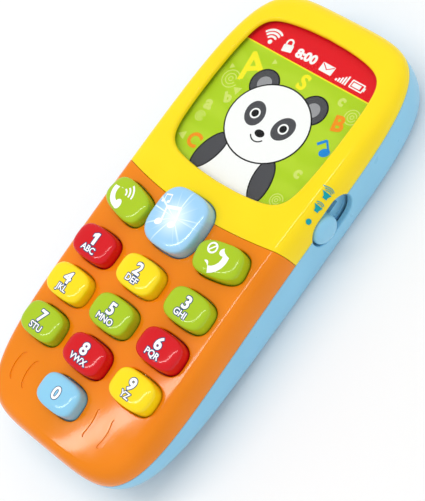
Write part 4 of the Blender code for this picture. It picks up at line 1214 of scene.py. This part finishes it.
def level_loops(spots, value):
    """Closed lines where a gridded value passes through zero, by walking through the grid's cells."""
    def crossing(a, b):
        share = value[a] / (value[a] - value[b])
        return tuple(spots[a] * (1.0 - share) + spots[b] * share)

    after = {}
    below = value < 0.0
    first = below[:-1, :-1]
    mixed = (first ^ below[1:, :-1]) | (first ^ below[:-1, 1:]) | (first ^ below[1:, 1:])
    for i, j in zip(*np.nonzero(mixed)):
        cell = ((i, j), (i + 1, j), (i + 1, j + 1), (i, j + 1))
        leaves, enters = [], []
        for a, b in zip(cell, cell[1:] + cell[:1]):
            if below[a] and not below[b]:
                leaves.append((min(a, b), max(a, b)))
            if below[b] and not below[a]:
                enters.append((min(a, b), max(a, b)))
        after.update(zip(leaves, enters))
    loops = []
    while after:
        start, edge = after.popitem()
        loop = [start]
        while edge != start:
            loop.append(edge)
            edge = after.pop(edge)
        loops.append([crossing(a, b) for a, b in loop])
    return loops


class Print:
    """Thin prints gathered into one piece that lies on a surface."""

    def __init__(self, name, surface, body):
        self.name, self.surface, self.body = name, surface, body
        self.points, self.faces, self.slots, self.inks = [], [], [], []

    def add(self, flat, finish, lift, at=(0.0, 0.0), turn=0.0, thick=0.06):
        """Lay a flat shape on the surface, lifted by a hair, as a thin closed solid."""
        points, faces = flat
        if not faces:
            return
        spots = moved(points, at, turn)
        if finish not in self.inks:
            self.inks.append(finish)
        start, count = len(self.points), len(points)
        self.points += [self.surface(x, y, lift) for x, y in spots]
        self.points += [self.surface(x, y, lift - thick) for x, y in spots]
        made = [[start + i for i in face] for face in faces]
        made += [[start + count + i for i in reversed(face)] for face in faces]
        made += [[start + a, start + count + a, start + count + b, start + b] for a, b in rim_edges(faces)]
        self.faces += made
        self.slots += [self.inks.index(finish)] * len(made)

    def shape(self, loops, finish, lift, at=(0.0, 0.0), turn=0.0):
        """Lay filled loops on the surface."""
        self.add(filled(loops), finish, lift, at, turn)

    def text(self, text, height, finish, lift, at=(0.0, 0.0), turn=0.0, bold=0.1, widen=1.0):
        """Lay letters or digits on the surface."""
        self.add(lettering(text, height, bold, widen), finish, lift, at, turn)

    def build(self):
        """Make the piece."""
        made = make(self.name, self.points, self.faces)
        for finish in self.inks:
            made.data.materials.append(finish)
        made.data.polygons.foreach_set("material_index", self.slots)
        made.data.shade_flat()
        return carried(made, self.body)


def stroke(points, width, round_ends=True):
    """One loop round a line of some width."""
    line = np.asarray(points, float)
    along = np.gradient(line, axis=0)
    along /= np.linalg.norm(along, axis=1)[:, None]
    side = np.stack([-along[:, 1], along[:, 0]], axis=1) * width / 2.0
    loop = [tuple(point) for point in line - side]
    if round_ends:
        loop += end_cap(line[-1], along[-1], width)
    loop += [tuple(point) for point in (line + side)[::-1]]
    if round_ends:
        loop += end_cap(line[0], -along[0], width)
    return loop


def end_cap(point, along, width):
    """The points of a half round at a line's end."""
    across = np.array([along[1], -along[0]])
    turns = np.radians((30.0, 60.0, 90.0, 120.0, 150.0))
    return [tuple(point + width / 2.0 * (across * math.cos(a) + along * math.sin(a))) for a in turns]


def oval(half_x, half_y, middle=(0.0, 0.0), turn=0.0):
    """A turned ellipse."""
    return moved(circle(1.0, 48) * np.array([half_x, half_y]), middle, turn)


def clipped(loop, keep):
    """The part of a loop on the positive side of a function, for a convex edge."""
    points = [np.asarray(point, float) for point in loop]
    made = []
    for a, b in zip(points, points[1:] + points[:1]):
        fa, fb = keep(a), keep(b)
        if fa >= 0.0:
            made.append(tuple(a))
        if fa * fb < 0.0:
            made.append(tuple(a + (b - a) * fa / (fa - fb)))
    return made


# --- what is printed on the keys and the side ----------------------------------------------------

def key_surface(row):
    """The domed top of a key, as a surface over its own middle and turn."""
    _, middle, half, turn = row
    outline = cushion(half, KEY_POINTS)
    angles = np.arctan2(outline[:, 1], outline[:, 0])
    order = np.argsort(angles)
    reach = np.hypot(*outline.T)[order]
    angles = angles[order]
    c, s = math.cos(turn), math.sin(turn)

    def surface(u, v, lift):
        limit = float(np.interp(math.atan2(v, u), angles, reach, period=2.0 * math.pi))
        share = min(1.0, math.hypot(u, v) / limit)
        rise = (1.0 - share**KEY_DOME_EXPONENT) ** (1.0 / KEY_DOME_EXPONENT)
        x, y = middle[0] + u * c + v * s, middle[1] - u * s + v * c
        return (x, y, middle[2] - KEY_DOME * (1.0 - rise) + lift)

    return surface


def print_number_key(row, white, rim):
    """A white digit with its letters, each with a dark outline."""
    digit = int(row[0][-1])
    made = Print(f"{row[0]}_print", key_surface(row), row[0])
    if digit == 0:
        made.text("0", 4.0, rim, 0.03, bold=0.38, widen=1.05)
        made.text("0", 4.0, white, 0.06, bold=0.16, widen=1.05)
        return made.build()
    for finish, lift, more in ((rim, 0.03, 0.27), (white, 0.06, 0.0)):
        made.text(str(digit), 3.9, finish, lift, (0.0, 1.4), bold=0.2 + more, widen=1.05)
        made.text(LEGENDS[digit], 2.05, finish, lift, (0.0, -2.4), bold=0.08 + more)
    return made.build()


def handset(scale):
    """A telephone handset, upright, with its grip bowed to the left, as three flat shapes."""
    grip = stroke(arc(4.1 * scale, 118.0, 242.0, (2.6 * scale, 0.0)), 1.8 * scale)
    ear = oval(1.5 * scale, 1.05 * scale, (1.1 * scale, 3.2 * scale), math.radians(-62.0))
    mouth = oval(1.6 * scale, 1.15 * scale, (1.1 * scale, -3.2 * scale), math.radians(62.0))
    return [grip], [ear], [mouth]


def print_call_keys(call, end, white):
    """A handset with sound waves on one key, and one with a no-entry ring on the other."""
    lift, top = 0.04, 0.05
    made = Print("call_key_print", key_surface(call), call[0])
    for loops in handset(1.08):
        made.shape(loops, white, lift, (-3.7, 0.7), math.radians(10.0))
    for radius in (1.5, 2.8, 4.1):
        wave = stroke(arc(radius, -38.0, 38.0, count=14), 0.6)
        made.shape([wave], white, lift, (-1.9, 1.4), math.radians(24.0))
    made.build()
    made = Print("end_call_key_print", key_surface(end), end[0])
    for loops in handset(1.2):
        made.shape(loops, white, lift, (1.0, -0.8), math.radians(162.0))
    sign = (-3.5, 1.5)
    made.shape([circle(1.9), circle(1.3)], white, top, sign)
    made.shape([stroke([(-1.05, 1.05), (1.05, -1.05)], 0.5, False)], white, top, sign, math.radians(110.0))
    made.build()


def print_light_key(row, white):
    """Two plain music notes."""
    made = Print("light_key_print", key_surface(row), row[0])
    lean = math.radians(14.0)
    for at, k in (((-6.3, 4.2), 0.85), ((-1.5, -0.2), 1.95)):
        for x in (-1.3 * k, 1.3 * k):
            made.shape([oval(0.75 * k, 0.55 * k, (x - 0.5 * k, -1.3 * k), 0.4)], white, 0.04, at, lean)
            made.shape([stroke([(x, -1.2 * k), (x, 1.5 * k)], 0.34 * k, False)], white, 0.05, at, lean)
        beam = stroke([(-1.47 * k, 1.35 * k), (1.47 * k, 1.6 * k)], 0.6 * k, False)
        made.shape([beam], white, 0.06, at, lean)
    made.build()


def side_surface(u, v, lift):
    """The right side wall above the seam with the back, as a place along it and a height."""
    slope = (side_at(u, v + 0.05) - side_at(u, v - 0.05)) / 0.1
    out = 1.0 / math.hypot(1.0, slope)
    return (side_at(u, v) + lift * out, u, v - lift * slope * out)


def print_volume_marks(teal):
    """A dot and two loudspeakers with more and more waves, beside the slider."""
    made = Print("volume_marks", side_surface, "case")
    lift = 0.05
    made.shape([circle(0.95)], teal, lift, (21.9, MARKS_Z))
    cone = [(-1.3, -0.75), (-0.5, -0.75), (0.75, -1.5), (0.75, 1.5), (-0.5, 0.75), (-1.3, 0.75)]
    for y, waves in ((26.9, 2), (31.6, 3)):
        made.shape([cone], teal, lift, (y, MARKS_Z))
        for i in range(waves):
            wave = stroke(arc(1.55 + 0.55 * i, -36.0, 36.0, count=12), 0.26)
            made.shape([wave], teal, lift, (y - 0.15, MARKS_Z))
    made.build()


# --- the picture on the card ---------------------------------------------------------------------

def inside_card(loop):
    """The part of a loop that lies on the card."""
    outline = screen_outline(WINDOW_LAP - CARD_MARGIN, 72)
    for a, b in zip(outline, np.roll(outline, -1, axis=0)):
        normal = np.array([a[1] - b[1], b[0] - a[0]])
        loop = clipped(loop, lambda point: float((point - a) @ normal))
    return loop


def at_card(x, y):
    """A place on the card, from the frame's x and y."""
    return (x, (y - SCREEN_MIDDLE_Y) / math.cos(SCREEN_TILT))


def card_surface(u, v, lift):
    """The card's face."""
    return screen_point(u, v, CARD_TOP + lift)


def print_status_bar(inks):
    """The red bar along the card's top over a thin yellow line, with plain status marks."""
    made = Print("status_bar_print", card_surface, "case")
    foot = at_card(0.0, BAR_FROM)[1]

    def band(edge, low):
        return clipped([tuple(p) for p in screen_outline(WINDOW_LAP - edge)], lambda p: float(p[1] - low))

    def mark(loops, x, y, lean=0.0, finish=inks["white"], lift=0.12):
        made.shape(loops, finish, lift, at_card(x, y), math.radians(lean))

    made.shape([band(CARD_MARGIN, foot - 0.45)], inks["lemon"], 0.07)
    made.shape([band(0.3, foot)], inks["red"], 0.09)
    mark([circle(0.8)], -19.2, 65.8)
    for radius in (2.0, 3.3, 4.5):
        mark([stroke(arc(radius, 47.0, 133.0), 0.8)], -19.2, 65.8, 12.0)
    mark([rectangle(-1.9, -1.5, 1.9, 1.2, 0.35)], -12.0, 66.8, 12.0)
    shackle = [(1.15, 0.9), *arc(1.15, 0.0, 180.0, (0.0, 1.9)), (-1.15, 0.9)]
    mark([stroke(shackle, 0.65)], -12.0, 66.8, 12.0)
    made.text("8:00", 3.0, inks["white"], 0.12, at_card(-4.0, 67.3), math.radians(3.0), bold=0.24, widen=1.1)
    mark([rectangle(-2.6, -1.6, 2.6, 1.6, 0.25)], 5.2, 66.9)
    flap = stroke([(-2.3, 1.3), (0.0, -0.35), (2.3, 1.3)], 0.36, False)
    mark([flap], 5.2, 66.9, finish=inks["red"], lift=0.14)
    for i in range(5):
        left = -2.3 + 0.95 * i
        mark([rectangle(left, -1.7, left + 0.62, -0.9 + 0.65 * i)], 12.3, 66.6)
    case = [rectangle(-2.9, -1.5, 2.5, 1.5, 0.3), rectangle(-2.45, -1.05, 2.05, 1.05)]
    for loops in (case, [rectangle(-2.05, -0.7, 1.2, 0.7)], [rectangle(2.45, -0.65, 3.05, 0.65)]):
        mark(loops, 18.5, 66.5)
    made.build()


def print_motifs(inks):
    """Plain letters, rings, triangles and a note scattered over the card."""
    made = Print("card_motifs_print", card_surface, "case")
    letters = (
        ("A", 9.6, -18.8, 56.4, -32.0, "lemon"), ("S", 5.2, 1.2, 59.4, 2.0, "lemon"),
        ("B", 5.2, 21.4, 53.2, -14.0, "tangerine"), ("C", 4.8, -18.9, 25.3, 8.0, "tangerine"),
        ("c", 3.6, 17.4, 60.4, 10.0, "pale"), ("a", 4.6, -23.2, 38.4, -8.0, "pale"),
        ("c", 3.8, 20.8, 33.6, 6.0, "pale"), ("b", 3.6, -18.8, 43.0, -30.0, "pale"),
    )
    for text, height, x, y, turn, shade in letters:
        made.text(text, height, inks[shade], 0.04, at_card(x, y), math.radians(-turn), bold=0.3)
    for x, y, radius in ((-22.5, 48.7, 3.2), (23.8, 57.0, 2.6), (20.4, 22.4, 2.2), (-23.0, 33.0, 1.7)):
        for share in (1.0, 0.6, 0.24):
            loop = stroke(arc(radius * share, 20.0, 340.0, count=30), 0.36)
            made.shape([loop], inks["pale"], 0.03, at_card(x, y))
    corners = np.radians((90.0, 210.0, 330.0))
    triangles = (
        (-17.6, 46.4, 1.8, 80.0), (-23.8, 24.7, 1.8, -20.0), (-25.2, 52.6, 1.2, 160.0), (-12.6, 60.6, 1.2, 30.0),
    )
    for x, y, size, turn in triangles:
        triangle = [(size * math.cos(a), size * math.sin(a)) for a in corners]
        made.shape([triangle], inks["pale"], 0.03, at_card(x, y), math.radians(turn))
    stem, flag = stroke([(1.3, 0.4), (0.6, 4.4)], 0.7, False), stroke([(0.6, 4.2), (-2.6, 3.4)], 1.0, False)
    for loop, lift in ((oval(1.9, 1.45), 0.04), (stem, 0.05), (flag, 0.06)):
        made.shape([loop], inks["blue"], lift, at_card(23.7, 42.9), math.radians(35.0))
    made.build()


def print_panda(inks):
    """A plain panda of simple ovals, upright, seen straight on and the same on both sides."""
    made = Print("panda_print", card_surface, "case")
    black, grey, white, soft = inks["black"], inks["charcoal"], inks["white"], inks["grey"]
    edge = 0.5

    def lay(loops, finish, lift, middle, turn=0.0):
        kept = [inside_card([tuple(p) for p in moved(loop, middle, turn)]) for loop in loops]
        made.shape([loop for loop in kept if len(loop) > 2], finish, lift)

    def rimmed(half_x, half_y, finish, lift, middle, turn=0.0):
        lay([oval(half_x + edge, half_y + edge)], black, lift, middle, turn)
        lay([oval(half_x, half_y)], finish, lift + 0.015, middle, turn)

    head, body = at_card(0.0, 41.8), at_card(0.0, 21.0)
    rimmed(12.4, 14.6, white, 0.05, body)
    rimmed(15.2, 13.6, white, 0.10, head)
    for side in (-1.0, 1.0):
        ear = (head[0] + 10.6 * side, head[1] + 11.0)
        rimmed(4.9, 4.9, grey, 0.05, ear)
        lay([circle(2.6)], soft, 0.08, ear)
        arm = (body[0] + 11.6 * side, body[1] + 4.0)
        rimmed(3.3, 7.6, grey, 0.07, arm, math.radians(14.0 * side))
        eye = (head[0] + 6.2 * side, head[1] + 1.0)
        lay([oval(3.7, 4.5)], grey, 0.13, eye, math.radians(-22.0 * side))
        lay([circle(1.9)], white, 0.145, eye)
        lay([circle(1.3)], black, 0.16, eye)
    nose = (head[0], head[1] - 4.0)
    lay([oval(1.9, 1.3)], black, 0.13, nose)
    lay([stroke(arc(3.0, 215.0, 325.0), 0.45)], black, 0.13, nose)
    made.build()


def finish_inner_nodes(finishes):
    """Give the frame's own pieces their finishes and smooth shading between sharp edges."""
    for name, finish in finishes.items():
        node = frame["nodes"][name]
        node.data.materials.clear()
        node.data.materials.append(finish)
        node.data.shade_smooth()
        node.data.set_sharp_from_angle(angle=math.radians(38.0))


def build_inner_finishes(blue):
    """The finishes of the door, the window, the card and everything inside."""
    nickel = metal("nickel_plate", (0.74, 0.72, 0.67), 0.22)
    board = circuit_board()
    label = cell_label()
    finishes = {
        "screen_window": clear_window(), "picture_card": card_print(), "battery_door": blue,
        "main_board": board, "switch_board": board, "battery_a": label, "battery_b": label,
        "led": gloss_plastic("led_lens_epoxy", (0.85, 0.88, 0.92), 0.08, 0.8),
        "chip_blob": gloss_plastic("black_epoxy_drop", (0.01, 0.01, 0.011), 0.25, 0.4),
        "capacitor": gloss_plastic("capacitor_sleeve", (0.02, 0.03, 0.10), 0.35, 0.1),
        "slide_switch_body": metal("switch_steel_plate", (0.68, 0.68, 0.67)),
        "slide_switch_actuator": rubber("black_nylon_matt", (0.02, 0.02, 0.02)),
        "speaker_frame": metal("speaker_steel_pressed", (0.5, 0.5, 0.51), 0.38),
        "speaker_cone": rubber("speaker_paper_pressed", (0.03, 0.03, 0.032)),
        "speaker_magnet": metal("magnet_plate", (0.28, 0.28, 0.29), 0.34),
        "switch_wire": rubber("wire_grey_pvc", (0.3, 0.3, 0.31)),
    }
    for contact in ("bridge", "plate_minus", "plate_plus", "spring_a", "spring_b"):
        finishes[f"contact_{contact}"] = nickel
    for shade, color in (("red", (0.6, 0.01, 0.01)), ("black", (0.015, 0.015, 0.016))):
        wire = rubber(f"wire_{shade}_pvc", color)
        finishes[f"battery_wire_{shade}"] = finishes[f"speaker_wire_{shade}"] = wire
    finish_inner_nodes(finishes)


def soften(name, width):
    """A small round along a frame node's edges."""
    bevel = frame["nodes"][name].modifiers.new("edges", "BEVEL")
    bevel.width = width * MM
    bevel.segments = 2
    bevel.limit_method = "ANGLE"
    bevel.angle_limit = math.radians(40.0)
    bevel.harden_normals = True


def build_floor():
    """A plain pale sweep under the phone."""
    reach, z = 1500.0, -0.02
    points = [(-reach, -reach, z), (reach, -reach, z), (reach, reach, z), (-reach, reach, z)]
    finish = Finish("floor", (0.93, 0.93, 0.93), 0.7)
    finish.mottle(300.0, 0.01).uneven(60.0, 0.05)
    make("floor", points, [(0, 1, 2, 3)], finish.made)


def softbox(name, place, size, turn, radiance):
    """A level area light that faces down, turned about Z."""
    light = bpy.data.lights.new(name, "AREA")
    light.shape = "RECTANGLE"
    light.size, light.size_y = size[0] * MM, size[1] * MM
    light.energy = radiance * math.pi * light.size * light.size_y
    item = placed(name, light)
    item.location = [value * MM for value in place]
    item.rotation_euler = (0.0, 0.0, turn)


def camera_axes():
    """The camera's right, up and back directions."""
    a, b, c = np.radians(CAMERA_TURN)
    about_y = np.array([[math.cos(a), 0, -math.sin(a)], [0, 1, 0], [math.sin(a), 0, math.cos(a)]])
    about_x = np.array([[1, 0, 0], [0, math.cos(b), -math.sin(b)], [0, math.sin(b), math.cos(b)]])
    about_z = np.array([[math.cos(c), -math.sin(c), 0], [math.sin(c), math.cos(c), 0], [0, 0, 1]])
    return about_z @ about_x @ about_y


def build_camera():
    """The camera, above the phone's right side, with its own roll."""
    axes = camera_axes()
    offset = np.array([*CAMERA_OFFSET, 0.0])
    place = axes.T @ (np.array([0.0, 0.0, CAMERA_DISTANCE]) - offset) + np.array([0.0, 0.0, PARTING_Z])
    data = bpy.data.cameras.new("camera")
    data.lens = CAMERA_LENS
    data.sensor_width = 36.0
    data.clip_start, data.clip_end = 0.01, 10.0
    camera = placed("camera", data)
    turned = Matrix(axes.T.tolist()).to_4x4()
    camera.matrix_world = Matrix.Translation([value * MM for value in place]) @ turned
    bpy.context.scene.camera = camera


def build_light():
    """A bright, soft studio: a pale room, and a long narrow box overhead that runs askew to the phone."""
    world = bpy.data.worlds.new("room")
    bpy.context.scene.world = world
    world.use_nodes = True
    feed(world.node_tree.nodes["Background"], {"Color": (1.0, 1.0, 1.0, 1.0), "Strength": ROOM_LIGHT})
    softbox("strip", STRIP_PLACE, STRIP_SIZE, STRIP_TURN, STRIP_RADIANCE)


def main():
    """Build the looks round the frame."""
    bpy.context.scene.view_settings.view_transform = "Standard"
    yellow = gloss_plastic("yellow_plastic_gloss", YELLOW)
    orange = gloss_plastic("orange_plastic_gloss", ORANGE)
    blue = gloss_plastic("blue_plastic_gloss", BLUE, 0.3, 0.12)
    paints = {"red": RED, "yellow": YELLOW, "green": LIME, "blue": BLUE}
    key_finish = {paint: gloss_plastic(f"key_{paint}_gloss", color, 0.16, 0.35, 0.12)
                  for paint, color in paints.items()}
    inks = {name: ink(name, color) for name, color in INKS.items()}
    build_front(yellow, orange)
    build_back(blue)
    table = key_table()
    for row in table:
        name = row[0]
        build_key(*row, glowing_key(row[1]) if name == "light_key" else key_finish[KEY_PAINT[name]])
        if name.startswith("key_"):
            print_number_key(row, inks["white"], inks["navy"])
    build_membrane(table, rubber("silicone_rubber", (0.72, 0.72, 0.70)))
    print_call_keys(*table[-3:-1], inks["white"])
    print_light_key(table[-1], inks["white"])
    print_volume_marks(inks["teal"])
    print_status_bar(inks)
    print_motifs(inks)
    print_panda(inks)
    build_knob(gloss_plastic("knob_blue_gloss", BLUE, 0.22, 0.35))
    steel = metal("screw_steel_drawn", (0.62, 0.62, 0.64))
    for index in range(6):
        build_screw(f"case_screw_{index}", "case", HEAD_RADIUS, SCREW_RADIUS, 1.6, steel)
    build_screw("door_screw", "door_screw", 2.4, 1.15, 1.2, steel)
    build_inner_finishes(blue)
    soften("battery_door", 0.2)
    build_floor()
    build_light()
    build_camera()


main()
